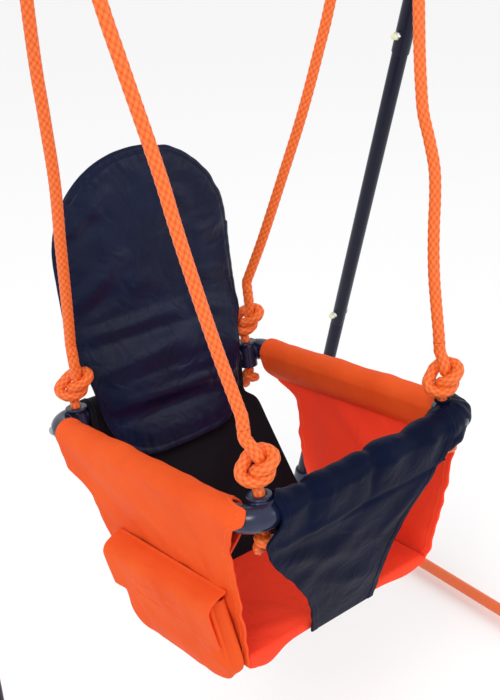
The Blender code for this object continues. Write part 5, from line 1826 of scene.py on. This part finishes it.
@dataclass
class SleevePanel:
    """A panel of the seat: a sleeve over a ring tube, and a sheet that hangs from it to the floor.

    The cloth leaves its seam, goes up the inner side, over the tube and down the outer side.
    """

    node: str
    finish: Finish
    thread: Finish
    put: Callable[[Array, Array, Array], Array]
    slope_out: Callable[[Array], Array]
    low_edge: Pairs
    high_edge: Pairs
    sleeve_ends: tuple[float, float]
    folds: Sequence[Fold] = ()
    sleeve_folds: Sequence[Fold] = ()
    puff: float = 0.0012
    puff_length: float = 0.04
    scallop: float = 0.0
    seed: int = 1
    wrap: float = 0.0
    flare: float = 0.0
    flare_from: float = 0.094
    rests_on: tuple[str, ...] = ("seat_base",)
    columns: int = 150
    step: float = 0.0026
    seam_drop: float = 0.04
    sizes: SwingSizes = SwingSizes()

    def profile(self) -> tuple[Array, Array, Array, Array]:
        """The panel's section: how far out of the tube's axis, how far below it, whether it hangs,
        and whether it is past the tube's top.
        """
        seam_out = float(self.slope_out(np.array(self.seam_drop))) - self.sizes.cloth - self.sizes.gap * 2
        inner = seam_out * 0.15 - self.sizes.sleeve_mid * 0.75
        start = np.array([(seam_out, self.seam_drop), (inner, self.seam_drop * 0.55)])
        angle = np.linspace(math.pi, 0.0, 25)
        arc = self.sizes.sleeve_mid * stacked(np.cos(angle), -np.sin(angle))
        drop = np.linspace(0.004, self.sizes.ring_z - self.sizes.base_z - self.sizes.gap, 90)
        hang = stacked(self.slope_out(drop), drop)
        flat = np.concatenate([start, arc, hang])
        even = even_points(smooth_points(flat, 4), self.step)
        lengths = distances(flat)
        marks = np.linspace(0.0, line_length(flat), len(even))
        hangs = smoothstep(lengths[len(start) + 24] - 0.002, lengths[len(start) + 24] + 0.006, marks)
        past = smoothstep(lengths[len(start) + 10], lengths[len(start) + 16], marks)
        return even[:, 0], even[:, 1], hangs, past

    def build(self) -> None:
        """Make the panel and its stitches."""
        out, drop, hangs, past = self.profile()
        z = self.sizes.ring_z - drop
        ends = self.sleeve_ends[0] - self.wrap * past, self.sleeve_ends[1]
        low, high = (
            smooth_table(edge, z) * hangs + end * (1 - hangs)
            for edge, end in zip((self.low_edge, self.high_edge), ends))
        if self.scallop:
            low = low + self.scallop * wobble(drop, 0.03, self.seed) * hangs
            high = high + self.scallop * wobble(drop, 0.026, self.seed + 1) * hangs
        share = edge_shares(self.columns)[None, :]
        along = low[:, None] * (1 - share) + high[:, None] * share
        height = np.broadcast_to(z[:, None], along.shape)
        grid = self.put(np.broadcast_to(out[:, None], along.shape), along, height)
        normal = grid_normals(grid)
        outward = self.put(np.ones_like(along), along, height) - self.put(np.zeros_like(along), along, height)
        arc = int(np.argmax(hangs > 0.5))
        facing = np.sign((normal[arc + 4] * outward[arc + 4]).sum(axis=1).mean())
        share = np.clip(drop / (self.sizes.ring_z - self.sizes.base_z), 0.0, 1.0)
        free = (np.sin(math.pi * share) * hangs)[:, None]
        lift = folded(self.folds, along, height) * hangs[:, None]
        lift = lift + folded(self.sleeve_folds, along, height) * (1 - free)
        round_way = np.linspace(0.0, 1.0, len(out))[:, None] * np.ones_like(along)
        tube_part = smoothstep(0.1, 0.2, round_way) * (1 - smoothstep(0.3, 0.52, round_way))
        waves = wobble(along + 0.02 * np.sin(drop[:, None] * 60), self.puff_length, self.seed + 2)
        waves = waves + 0.5 * wobble(along - drop[:, None] * 0.8, self.puff_length * 0.45, self.seed + 3)
        lift = lift + self.puff * waves * tube_part
        lift = lift + self.flare * smoothstep(self.flare_from, 0.12, np.abs(along)) * tube_part
        lift = lift + 0.0009 * wobble(along * 0.6 + drop[:, None], 0.06, self.seed + 4) * free
        grid = grid + normal * facing * lift[..., None]
        sheet = Cloth(f"{self.node}_cloth", grid, outer_first=bool(facing > 0))
        sheet.show(SEAT, Body.SWING, self.node, self.finish, self.thread, "hung", self.rests_on)


@dataclass
class Bucket:
    """The cloth of the bucket seat: two side panels, a front, a back, and the wrapped floor board."""

    sizes: SwingSizes = SwingSizes()

    def build(self) -> None:
        """Make every panel and the floor."""
        for side in Side:
            self.side_panel(side)
        self.front_panel()
        self.sleeve_end()
        self.back_panel()
        self.seat_base()
        self.seat_board()

    def side_panel(self, side: Side) -> None:
        """One side panel; the right one carries the pocket.

        Args:
            side: the child's side.
        """
        s = self.sizes

        def put(out: Array, along: Array, up: Array) -> Array:
            """A place of the panel in the seat's frame: past the straight tube it follows the bend.

            Args:
                out: how far out of the tube's axis.
                along: how far to the rear.
                up: how high.

            Returns:
                The place.
            """
            straight = s.cross_tube_y - s.bend
            beyond = np.maximum(0.0, -along - straight)
            turn = np.minimum(beyond / s.bend, 1.2) * (1 - smoothstep(-0.012, 0.022, s.ring_z - up))
            radius = s.bend + out
            x = s.side_tube_x - s.bend + radius * np.cos(turn) + 0 * along
            y = np.where(turn > 0, -straight - radius * np.sin(turn) - (beyond - turn * s.bend), along)
            return stacked(side.value * x, y, up)

        right_folds = folds_mm(
            (125, -20, -20, -75, 16, 2.8), (120, -45, 20, -110, 13, -2.2), (-110, -30, -118, -150, 10, 2),
            (-135, -40, -85, -110, 14, -2), (60, -18, -90, -30, 10, -1.2), (-20, -60, -50, -125, 12, 1.8),
        )
        left_folds = folds_mm(
            (85, -60, 80, -190, 14, 3), (40, -70, -40, -130, 16, -2.8), (-50, -60, -90, -150, 14, 2.6),
            (-120, -70, -60, -205, 18, -3), (10, -180, -110, -205, 14, 2.6),
        )
        SleevePanel(
            node=f"{side.word}_side_panel",
            finish=Finishes.orange_cloth, thread=Finishes.orange_thread,
            put=put, slope_out=s.side_out,
            low_edge=[(-0.03, -0.17), (-0.045, -0.163), (-0.062, -0.157), (-0.103, -0.151), (-0.164, -0.139),
                      (s.base_z, -0.123)],
            high_edge=[(-0.062, 0.1545), (-0.08, 0.116), (-0.13, 0.106), (-0.17, 0.092), (s.base_z, 0.056)],
            sleeve_ends=(-0.1545, 0.1545),
            folds=right_folds if side is Side.RIGHT else left_folds,
            puff=0.0008, puff_length=0.09, scallop=0.0016,
            seed=11 if side is Side.RIGHT else 23,
            wrap=0.022 if side is Side.RIGHT else 0.0,
            rests_on=(f"{side.word}_side_tube", "seat_base"),
        ).build()

    def across(self, end: End) -> Callable[[Array, Array, Array], Array]:
        """The way from a front or rear panel's (out, along, up) to the seat's frame."""
        tube = self.sizes.cross_tube_y
        return lambda out, along, up: stacked(along, end.value * (tube + out), up)

    def front_panel(self) -> None:
        """The front panel, whose sleeve is puffed and gathered, and left bare."""
        s = self.sizes
        folds = folds_mm(
            (-135, -52, -20, -60, 6, 3), (-130, -66, -30, -85, 8, -2.2), (-125, -74, -10, -120, 10, 2.4),
            (-85, -110, 10, -150, 12, -2), (90, -62, 20, -120, 10, 2), (-40, -150, 30, -175, 10, 1.8),
            (-110, -58.6, 108, -58.6, 3.5, -2.2),
        )
        sleeve_folds = folds_mm(
            (-90, -52, -82, 4, 6, -3.4), (-70, -50, -60, 4, 13, 3), (-36, -50, -30, 4, 9, -1.2),
            (-4, -56, 4, 4, 6, -4), (22, -50, 26, 4, 14, 3.6), (52, -50, 60, 4, 10, -1.4),
            (82, -50, 88, 4, 11, 2.6),
        )
        SleevePanel(
            node="front_panel",
            finish=Finishes.navy_cloth, thread=Finishes.navy_thread,
            put=self.across(End.FRONT), slope_out=s.front_out,
            low_edge=[(-0.022, -0.129), (-0.041, -0.143), (-0.06, -0.139), (-0.079, -0.129),
                      (-0.123, -0.094), (-0.172, -0.063), (s.base_z, -0.05)],
            high_edge=[(-0.03, 0.116), (-0.05, 0.108), (-0.074, 0.09), (-0.116, 0.062),
                       (-0.158, 0.048), (s.base_z, 0.045)],
            sleeve_ends=(-0.116, 0.116),
            folds=folds, sleeve_folds=sleeve_folds,
            puff=0.0013, puff_length=0.085, scallop=0.0008, seed=31, wrap=0.012, flare=0.0042,
            rests_on=("front_tube", "seat_base"), columns=190, step=0.0022,
        ).build()

    def sleeve_end(self) -> None:
        """The end of the front sleeve, pulled over the left corner and its collar like a sock.

        It is the outline of a chain of balls seen from a point inside: in each direction d it lies at
        t = d.q + sqrt(r^2 - q.q + (d.q)^2), the largest of the balls' values, taken softly. The ball's
        centre is q and its radius r, and the table gives both in millimetres.
        """
        s = self.sizes
        heart = np.array([0.136, -0.1745, s.ring_z - 0.001])
        balls = np.array([
            (100, -182.2, -18.6, 17.6), (110, -181.5, -18.4, 19.2), (120, -179.5, -17.8, 20.8),
            (129, -176.5, -17.2, 22), (136, -174.5, -17, 22.2), (144, -171.5, -17.6, 21.2),
            (150, -165.5, -18.2, 20), (153.5, -158, -18.6, 18.8), (154.3, -149, -18.6, 17.6),
            (128, -179, -30, 18.5), (122, -180, -37, 15), (136, -175, -29, 18)]) / 1000
        up = np.linspace(math.pi / 2, -math.pi / 2, 92)[:, None]
        angle = round_angles(160)[None, :]
        way = stacked(np.cos(up) * np.cos(angle), np.cos(up) * np.sin(angle), np.sin(up))
        q, r = balls[:, :3] - heart, balls[:, 3]
        along = way @ q.T
        inside = r ** 2 - (q ** 2).sum(axis=1) + along ** 2
        reach = np.maximum(np.where(inside > 0, along + np.sqrt(np.maximum(inside, 0.0)), 0.0), 0.001)
        size = ((reach ** 30).mean(axis=-1)) ** (1 / 30) * 1.03
        level = 1 - np.abs(np.sin(up)) ** 6
        crease = 0.0011 * wobble(angle * 0.02 + up * 0.012, 0.021, 35)
        crease = crease + 0.0012 * wobble(angle * 0.02 - up * 0.02, 0.047, 36)
        size = size + crease * level
        grid = heart + way * size[..., None]
        uv_u = np.concatenate([angle, angle[:, :1] + 2 * math.pi], axis=1) * 0.022 + 0 * up
        uv = stacked(uv_u, -up * 0.022 + 0 * uv_u)
        sock = tidy_mesh(grid_object("front_sleeve_end", SEAT.points(grid), close_columns=True, uv=uv))
        show(sock, Body.SWING, Finishes.navy_cloth)
        ring = np.linspace(0.0, 2 * math.pi, 61)
        mouth = 0.0078
        middle = stacked(
            s.rope_x + mouth * np.cos(ring), mouth * np.sin(ring) - s.rope_y, 0.0046 + 0.0004 * np.sin(3 * ring))
        hem = swept("front_sleeve_mouth", SEAT, middle, 0.0016, sides=16)
        show(hem, Body.SWING, Finishes.navy_cloth)

    def back_panel(self) -> None:
        """The black back panel, which slopes forward to the floor."""
        s = self.sizes
        width = [(-0.066, 0.116), (-0.084, 0.13), (-0.13, 0.126), (s.base_z, 0.118)]
        SleevePanel(
            node="back_panel",
            finish=Finishes.black_cloth, thread=Finishes.black_thread,
            put=self.across(End.REAR), slope_out=s.back_out,
            low_edge=[(z, -half) for z, half in width], high_edge=width,
            sleeve_ends=(-0.116, 0.116),
            folds=folds_mm(
                (-100, -70, 20, -160, 18, 3), (100, -80, 0, -190, 20, 3),
            ),
            puff=0.0012, puff_length=0.05, seed=41,
            rests_on=("rear_tube", "seat_base"), columns=120, step=0.0032,
        ).build()

    def seat_base(self) -> None:
        """The cloth that is wrapped round the seat's board, sagging a little under its front corners."""
        s = self.sizes
        middle, turn, bend_y = s.floor_wrap
        angle = np.linspace(math.pi / 2, 3 * math.pi / 2, 25)
        bend = stacked(bend_y + turn * np.cos(angle), middle + turn * np.sin(angle))
        section = np.concatenate([[[s.base_rear, middle + turn]], bend, [[s.base_rear, middle - turn]]])
        line = even_points(section, 0.0022)
        share = edge_shares(130)[None, :]
        x = (share * 2 - 1) * s.base_half * np.ones((len(line), 1))
        y = np.broadcast_to(line[:, :1], x.shape)
        z = np.broadcast_to(line[:, 1:2], x.shape)
        upper = smoothstep(middle - turn * 0.4, middle + turn * 0.9, z)
        forward = smoothstep(s.base_rear, bend_y, y)
        folds = folds_mm(
            (-125, -20, -20, -100, 20, 4), (-110, -85, -35, -118, 10, 3.4), (100, 0, 20, -80, 24, 3.6),
            (-20, -20, 50, -110, 16, -2),
        )
        lift = (folded(folds, x, y) + 0.0016 * wobble(x + y * 0.5, 0.07, 51)) * upper * (0.3 + 0.7 * forward)
        lift = lift + 0.0009 * wobble(x, 0.028, 52) * (1 - np.abs(upper * 2 - 1))
        under = (1 - smoothstep(middle - turn, middle + turn, z)) * smoothstep(-0.075, -0.115, y)
        pouch = np.exp(-(((x + 0.112) / 0.024) ** 2)) + 0.5 * np.exp(-(((x - 0.105) / 0.03) ** 2))
        sag = 0.0085 * pouch * under
        grid = stacked(x, y - lift * 0.4 - 0.45 * sag, z + lift * upper - sag)
        sheet = Cloth("seat_base_cloth", grid)
        sheet.show(SEAT, Body.SWING, "seat_base", Finishes.orange_cloth, Finishes.orange_thread, "folded",
                   ("seat_board",))

    def seat_board(self) -> None:
        """The pressed board inside the floor, with its edges eased."""
        s = self.sizes
        middle, _, bend_y = s.floor_wrap
        angle = round_angles(160)
        c, n = np.cos(angle), np.sin(angle)
        ring_x = s.base_half * 0.985 * np.sign(c) * np.abs(c) ** 0.12
        centre_y = (bend_y + s.base_rear) / 2
        ring_y = centre_y + (s.base_rear - bend_y) / 2 * 0.99 * np.sign(n) * np.abs(n) ** 0.12
        half = s.board / 2
        steps = [(0.0, half), (0.9, half), (0.995, half), (1.0, half - 0.0006), (1.0, 0.0006 - half),
                 (0.995, -half), (0.9, -half), (0.0, -half)]
        grid = np.stack([
            stacked(ring_x * f, centre_y + (ring_y - centre_y) * f, np.full_like(ring_x, middle + h))
            for f, h in steps])
        board = tidy_mesh(grid_object("seat_board_slab", SEAT.points(grid), close_columns=True))
        show(board, Body.SWING, Finishes.board, "seat_board")


@dataclass
class Backrest:
    """The tall padded back: a closed cushion with a rolled rim, gathers at its seam and soft folds."""

    sizes: SwingSizes = SwingSizes()
    top: float = 0.283
    bottom: float = -0.085
    arch: float = 0.165
    half: float = 0.125
    waist: float = 0.109
    set_back: float = 0.017
    thickness: float = 0.0165
    rim: float = 0.0075
    folds: tuple[Fold, ...] = folds_mm(
        (-118, 200, -40, 240, 9, 2.4), (-112, 186, -50, 215, 8, -2), (-114, 118, -34, 162, 10, 3),
        (-110, 102, -50, 122, 9, -2.2), (-34, 122, 10, 132, 12, 2.2), (-118, 80, 30, 79, 8, 2.6),
        (-110, 64, 60, 60, 8, -2.4), (-100, 34, 30, 43, 10, 2.6), (-95, 16, 80, 14, 9, -2.4),
        (-98, -10, 108, -22, 9, 4.4), (-88, -34, 95, -40, 9, -3.4), (-65, -60, 90, -66, 10, 2.6),
        (122, 170, 70, 160, 8, 2.8), (122, 148, 80, 142, 7, -2.2), (116, 108, 60, 112, 9, 2.2),
        (114, 52, 45, 82, 9, 2.8), (36, 224, 72, 200, 8, 2.4), (-85, 246, -30, 270, 8, 1.8),
        (20, 190, 110, 196, 10, -1.8),
    )

    @property
    def middle_y(self) -> float:
        """The y of the pad's middle, where its rear face meets the rear sleeve."""
        s = self.sizes
        return s.cross_tube_y - s.sleeve_mid - s.cloth / 2 - s.gap - self.thickness * 0.47

    def outline(self, angle: Array) -> tuple[Array, Array]:
        """The pad's edge: half an ellipse above, straight sides and a squarer end below.

        Args:
            angle: the angles round its middle.

        Returns:
            The x and the z at each of them.
        """
        c, n = np.cos(angle), np.sin(angle)
        power = np.where(n > 0, 2 / 2.1, 2 / 4.5)
        height = np.where(n > 0, self.top - self.arch, self.arch - self.bottom)
        z = self.arch + height * np.sign(n) * np.abs(n) ** power
        widths = [(0.3, self.half), (0.12, self.half), (0.06, self.half - 0.002), (0.046, self.half - 0.004),
                  (0.03, self.waist + 0.006), (0.0, self.waist + 0.003), (self.bottom, self.waist)]
        return np.sign(c) * np.abs(c) ** power * smooth_table(widths, z), z

    def build(self) -> None:
        """Make the pad as one closed cushion, with a seam line pressed in near its rim."""
        angle = round_angles(420)
        edge_x, edge_z = self.outline(angle)
        loop = stacked(edge_x, 0.0, edge_z)
        loop = resampled(np.concatenate([loop, loop[:1]]), 561)[:-1]
        edge_x, edge_z = loop[:, 0], loop[:, 2]
        around = distances(loop)
        middle_z = self.arch
        scallop = 0.0008 * wobble(around, 0.036, 61) * smoothstep(-0.05, 0.06, edge_x)
        reach = np.hypot(edge_x, edge_z - middle_z)
        inner = np.linspace(0.0, 0.86, 60)
        outer = 1 - (1 - 0.86) * (1 - np.linspace(0.0, 1.0, 34)[1:]) ** 1.6
        share = np.concatenate([inner, outer])
        rows = []
        for face, shares in ((-1, share), (1, share[-2::-2])):
            s = shares[:, None]
            x = edge_x * s * (1 + scallop / reach * smoothstep(0.8, 1.0, s))
            z = middle_z + (edge_z - middle_z) * s * (1 + scallop / reach * smoothstep(0.8, 1.0, s))
            swell = np.sqrt(np.maximum(0.0, 1 - s ** 6)) * np.ones_like(x)
            away = (1 - s) * reach
            seam = np.exp(-(((away - self.rim) / 0.0017) ** 2))
            gather = wobble(around[None, :] + away * 0.3, 0.016, 62) * np.exp(-((away - self.rim) / 0.016) ** 2)
            above = 0.35 + 0.65 * smoothstep(0.2, 0.25, z)
            lift = self.thickness / 2 * swell - 0.0014 * seam * above * (away > 0.001) + 0.0004 * gather
            if face < 0:
                inside = smoothstep(0.0, 0.02, away)
                lift = lift + folded(self.folds, x, z) * inside
                lift = lift + 0.0007 * wobble(z * 0.7 + x, 0.062, 63) * wobble(z - 0.4 * x, 0.11, 64) * inside
            rows.append(stacked(x, self.middle_at(z) + face * lift, z))
        grid = np.concatenate(rows)
        uv_x = np.concatenate([grid[..., 0], grid[:, :1, 0]], axis=1)
        uv_z = np.concatenate([grid[..., 2], grid[:, :1, 2]], axis=1)
        pad = tidy_mesh(grid_object(
            "backrest_cushion", SEAT.points(grid), close_columns=True, uv=stacked(uv_x, uv_z)))
        show(pad, Body.SWING, Finishes.pad_cloth, "backrest_pad")

    def middle_at(self, z: Array) -> Array:
        """The y of the pad's middle at a height: behind the knots, then along the back panel."""
        back = self.set_back
        lean = [(0.3, -back), (0.11, -back), (0.088, -back * 0.96), (0.06, -back * 0.6), (0.015, -0.0004),
                (self.sizes.ring_z - 0.006, 0.0), (-0.042, 0.003), (-0.064, 0.008), (self.bottom, 0.02)]
        return self.middle_y - smooth_table(lean, z)


@dataclass
class Pocket:
    """The pocket on the right panel: a gusseted pouch under a flap that closes with a strip."""

    sizes: SwingSizes = SwingSizes()
    top_z: float = -0.122
    front_y: float = -0.128
    rear_y: float = 0.06
    height: float = 0.108
    depth: float = 0.026
    flap_rise: float = 0.012
    flap_length: float = 0.062
    flap_margin: float = 0.004
    strip: Triple = (0.0008, 0.02, 0.1)
    strip_drop: float = 0.03
    wall: float = 0.0018

    def place(self) -> Place:
        """The pocket's frame: Z up along the right panel, X out of it, Y to the front."""
        s = self.sizes
        slant = math.atan((s.sleeve_mid - s.side_floor_out) / s.floor_drop)
        out = float(s.side_out(np.array(s.ring_z - self.top_z)))
        face = s.side_tube_x + out + (s.cloth / 2 + s.gap) / math.cos(slant)
        c, n = math.cos(slant), math.sin(slant)
        lean = np.array([[c, 0.0, n], [0.0, 1.0, 0.0], [-n, 0.0, c]])
        half_turn = np.diag([-1.0, -1.0, 1.0])
        return SEAT.inner((-face, 0.0, self.top_z), half_turn @ lean)

    def build(self) -> None:
        """Make the pouch, the flap and the two strips."""
        self.pouch()
        self.flap()
        self.strips()

    def pouch(self) -> None:
        """The pouch: its section at each height is a superellipse that closes at the bottom."""
        angle = round_angles(300)[None, :]
        down = np.concatenate([np.linspace(0.0, 0.86, 44), 1 - 0.14 * (1 - np.linspace(0.0, 1.0, 26)[1:]) ** 2])
        down = down[:, None]
        half_y, middle_y = (self.rear_y - self.front_y) / 2, -(self.rear_y + self.front_y) / 2
        close = np.maximum(0.0, 1 - down ** 9) ** (1 / 9)
        c, n = np.cos(angle), np.sin(angle)
        swell = 1 + 0.1 * np.sin(math.pi * np.clip(down, 0, 1)) * np.maximum(0, n)
        y = middle_y + half_y * np.sign(c) * np.abs(c) ** 0.22 * (0.55 + 0.45 * close ** 0.5) * close
        x = self.depth / 2 + self.depth / 2 * np.sign(n) * np.abs(n) ** 0.3 * close * swell
        z = -self.height * down
        outside = smoothstep(0.0, 0.3, n)
        end = smoothstep(0.8, 0.97, np.abs(c))
        folds = folds_mm(
            (110, -20, 118, -85, 6, 3), (60, -70, -10, -95, 12, 2.2), (-40, -50, -20, -95, 10, -2.2),
            (30, -65, 50, -100, 9, -1.8),
        )
        lift = folded(folds, y, z) + 0.0012 * wobble(y + z, 0.045, 71)
        x = x + lift * outside * close
        crease = 0.0055 * np.exp(-(((x - self.depth * 0.55) / 0.004) ** 2)) * end * (1 - down ** 4)
        y = y - np.sign(c) * crease
        grid = stacked(x, y, z)
        across = run_lengths(np.concatenate([grid, grid[:, :1]], axis=1), 1)
        below = run_lengths(grid, 0)
        below = np.concatenate([below, below[:, :1]], axis=1)
        place = self.place()
        bag = tidy_mesh(grid_object(
            "pocket_bag", place.points(grid), close_columns=True, uv=stacked(across, below)))
        thick = bag.modifiers.new("cloth", "SOLIDIFY")
        thick.thickness = self.wall
        thick.offset = -1.0
        show(bag, Body.SWING, Finishes.orange_cloth, "pocket_pouch")

    def flap(self) -> None:
        """The flap: from its seam over the pouch's mouth and down its front, hemmed and stitched."""
        s = self.sizes
        hinge = np.array([s.cloth / 2 + s.gap, 0.0, self.flap_rise])
        face = self.depth + 3 * s.gap + 2 * self.strip[0] + s.cloth / 2 - hinge[0]
        section = [
            (0.0, -0.0016), (0.002, -0.0034), (face * 0.42, -0.0044), (face * 0.8, -0.0078),
            (face * 0.97, -0.0135), (face, -0.02), (face, -0.04), (face - 0.0006, -self.flap_length)]
        line = even_points(smooth_points(np.array(section)), 0.0018)
        low, high = -self.rear_y - self.flap_margin, -self.front_y + self.flap_margin
        share = edge_shares(150)[None, :]
        y = low + (high - low) * share * np.ones((len(line), 1))
        x = np.broadcast_to(line[:, :1], y.shape)
        z = np.broadcast_to(line[:, 1:2], y.shape)
        free = smoothstep(0.0, 0.02, -z)
        folds = folds_mm(
            (-55, -5, -45, -55, 10, 1.4), (30, -12, 45, -60, 10, 1.6), (100, -4, 112, -60, 8, -1),
        )
        lift = np.maximum(folded(folds, y, z) + 0.0006 * wobble(y, 0.05, 81), -0.0002) * free
        ease = 0.0014 * wobble(y, 0.07, 82) * smoothstep(0.03, 0.062, -z)
        grid = stacked(x + lift, y, z + ease)
        place = self.place().inner(hinge)
        sheet = Cloth("pocket_flap_cloth", grid, 0.0019, hem_sides="lrb", hem_rise=0.0008, outer_first=False)
        sheet.show(place, Body.POCKET_LID, "pocket_flap", Finishes.orange_cloth, Finishes.orange_thread, "hung",
                   ("right_side_panel",))
        middle = -(self.front_y + self.rear_y) / 2
        wide, tall = self.strip[2] / 2 - 0.002, self.strip[1] / 2 - 0.0015
        centre = -self.flap_rise - self.strip_drop
        corners = np.array([(-wide, tall), (wide, tall), (wide, -tall), (-wide, -tall), (-wide, tall)])
        out = face + s.cloth / 2 + 0.0002
        path = stacked(out, middle + corners[:, 0], centre + corners[:, 1])
        way = np.tile([1.0, 0.0, 0.0], (2, 1))
        lines = [(path[k:k + 2], way) for k in range(4)]
        box = stitch_rows("flap_strip_stitches", place, lines, 0.0034, 0.0004)
        show(box, Body.POCKET_LID, Finishes.orange_thread)

    def strips(self) -> None:
        """The two mating strips, each a woven tape with a field of loops or hooks."""
        s = self.sizes
        thick, wide, long = self.strip
        middle = -(self.front_y + self.rear_y) / 2
        loop_x = self.depth + s.gap
        hook_x = loop_x + thick + s.gap
        for name, x, body in (
            ("pouch_loop_strip", loop_x, Body.SWING),
            ("flap_hook_strip", hook_x, Body.POCKET_LID),
        ):
            across, up = np.linspace(-long / 2, long / 2, 90), np.linspace(-wide / 2, wide / 2, 20)
            y, z = np.meshgrid(across, up)
            rim = np.minimum(long / 2 - np.abs(y), wide / 2 - np.abs(z))
            nap = 0.00012 * wobble(y * 7 + z * 3, 0.01, 91) * (rim > 0.001)
            front = stacked(x + thick - 0.0002 + nap, y + middle, z - self.strip_drop)
            back = stacked(np.full_like(y, x + 0.0001), y + middle, z - self.strip_drop)
            seam = (front[:1] + back[:1]) / 2
            grid = np.concatenate([seam, front, back[::-1], seam])
            tape = tidy_mesh(grid_object(f"{name}_tape", self.place().points(grid)))
            thicken = tape.modifiers.new("tape", "SOLIDIFY")
            thicken.thickness = 0.0001
            show(tape, body, Finishes.strip, name)


# Stage


@dataclass
class Studio:
    """The camera at the photograph's angle, soft lights and a pale floor."""

    lens: float = 57.57
    sensor: float = 36.0
    eye: Triple = (-0.6927, -0.8691, 1.2706)
    forward: Triple = (0.5598, 0.7012, -0.4416)
    up: Triple = (0.3045, 0.3216, 0.8966)
    floor_half: float = 12.0

    def build(self) -> None:
        """Place everything that isn't part of the swing."""
        self.camera()
        self.floor()
        self.lights()
        bpy.context.scene.view_settings.view_transform = "Standard"

    def camera(self) -> None:
        """The camera, with its axes worked out from where it looks."""
        forward = Vector(self.forward).normalized()
        right = forward.cross(Vector(self.up)).normalized()
        up = right.cross(forward)
        data = bpy.data.cameras.new("camera")
        data.lens = self.lens
        data.sensor_width = self.sensor
        camera = bpy.data.objects.new("camera", data)
        turn = Matrix((right, up, -forward)).transposed().to_4x4()
        camera.matrix_world = Matrix.Translation(self.eye) @ turn
        bpy.context.scene.collection.objects.link(camera)
        bpy.context.scene.camera = camera

    def floor(self) -> None:
        """A pale matt floor."""
        half = self.floor_half
        line = np.linspace(-half, half, 3)
        x, y = np.meshgrid(line, line)
        plane = grid_object("floor", stacked(x, y, np.zeros_like(x)))
        material = bpy.data.materials.new("pale_floor")
        material.use_nodes = True
        shader = material.node_tree.nodes["Principled BSDF"]
        shader.inputs["Base Color"].default_value = colour("FDFDFD")
        shader.inputs["Roughness"].default_value = 1.0
        shader.inputs["Specular IOR Level"].default_value = 0.0
        plane.data.materials.append(material)

    def lights(self) -> None:
        """A large soft light above on the camera's left, a weaker one opposite, and a white room."""
        world = bpy.data.worlds.new("white_room")
        bpy.context.scene.world = world
        world.use_nodes = True
        background = world.node_tree.nodes["Background"]
        background.inputs["Color"].default_value = (1.0, 1.0, 1.0, 1.0)
        background.inputs["Strength"].default_value = 0.93
        self.area("key", (-1.9, -1.2, 2.7), 1.0, 30.0)
        self.area("fill", (1.8, -2.0, 1.8), 1.3, 12.0)

    def area(self, name: str, place: Triple, size: float, power: float) -> None:
        """A square soft light that looks at the seat.

        Args:
            name: its name.
            place: where it hangs.
            size: its side, in metres.
            power: its watts.
        """
        data = bpy.data.lights.new(name, "AREA")
        data.size = size
        data.energy = power
        light = bpy.data.objects.new(name, data)
        light.location = place
        aim = Vector((0.0, 0.0, SEAT_Z)) - Vector(place)
        light.rotation_euler = aim.to_track_quat("-Z", "Y").to_euler()
        bpy.context.scene.collection.objects.link(light)


def main() -> None:
    """Build the swing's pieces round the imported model, in order."""
    logging.basicConfig(level=logging.INFO, format="%(message)s")
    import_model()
    Studio().build()
    for side in Side:
        RopeRig(side).build()
    Stand().build()
    for side in Side:
        Hanger(side).build()
    for assembly in (SeatRing(), Bucket(), Backrest(), Pocket()):
        assembly.build()


if __name__ == "__main__":
    main()
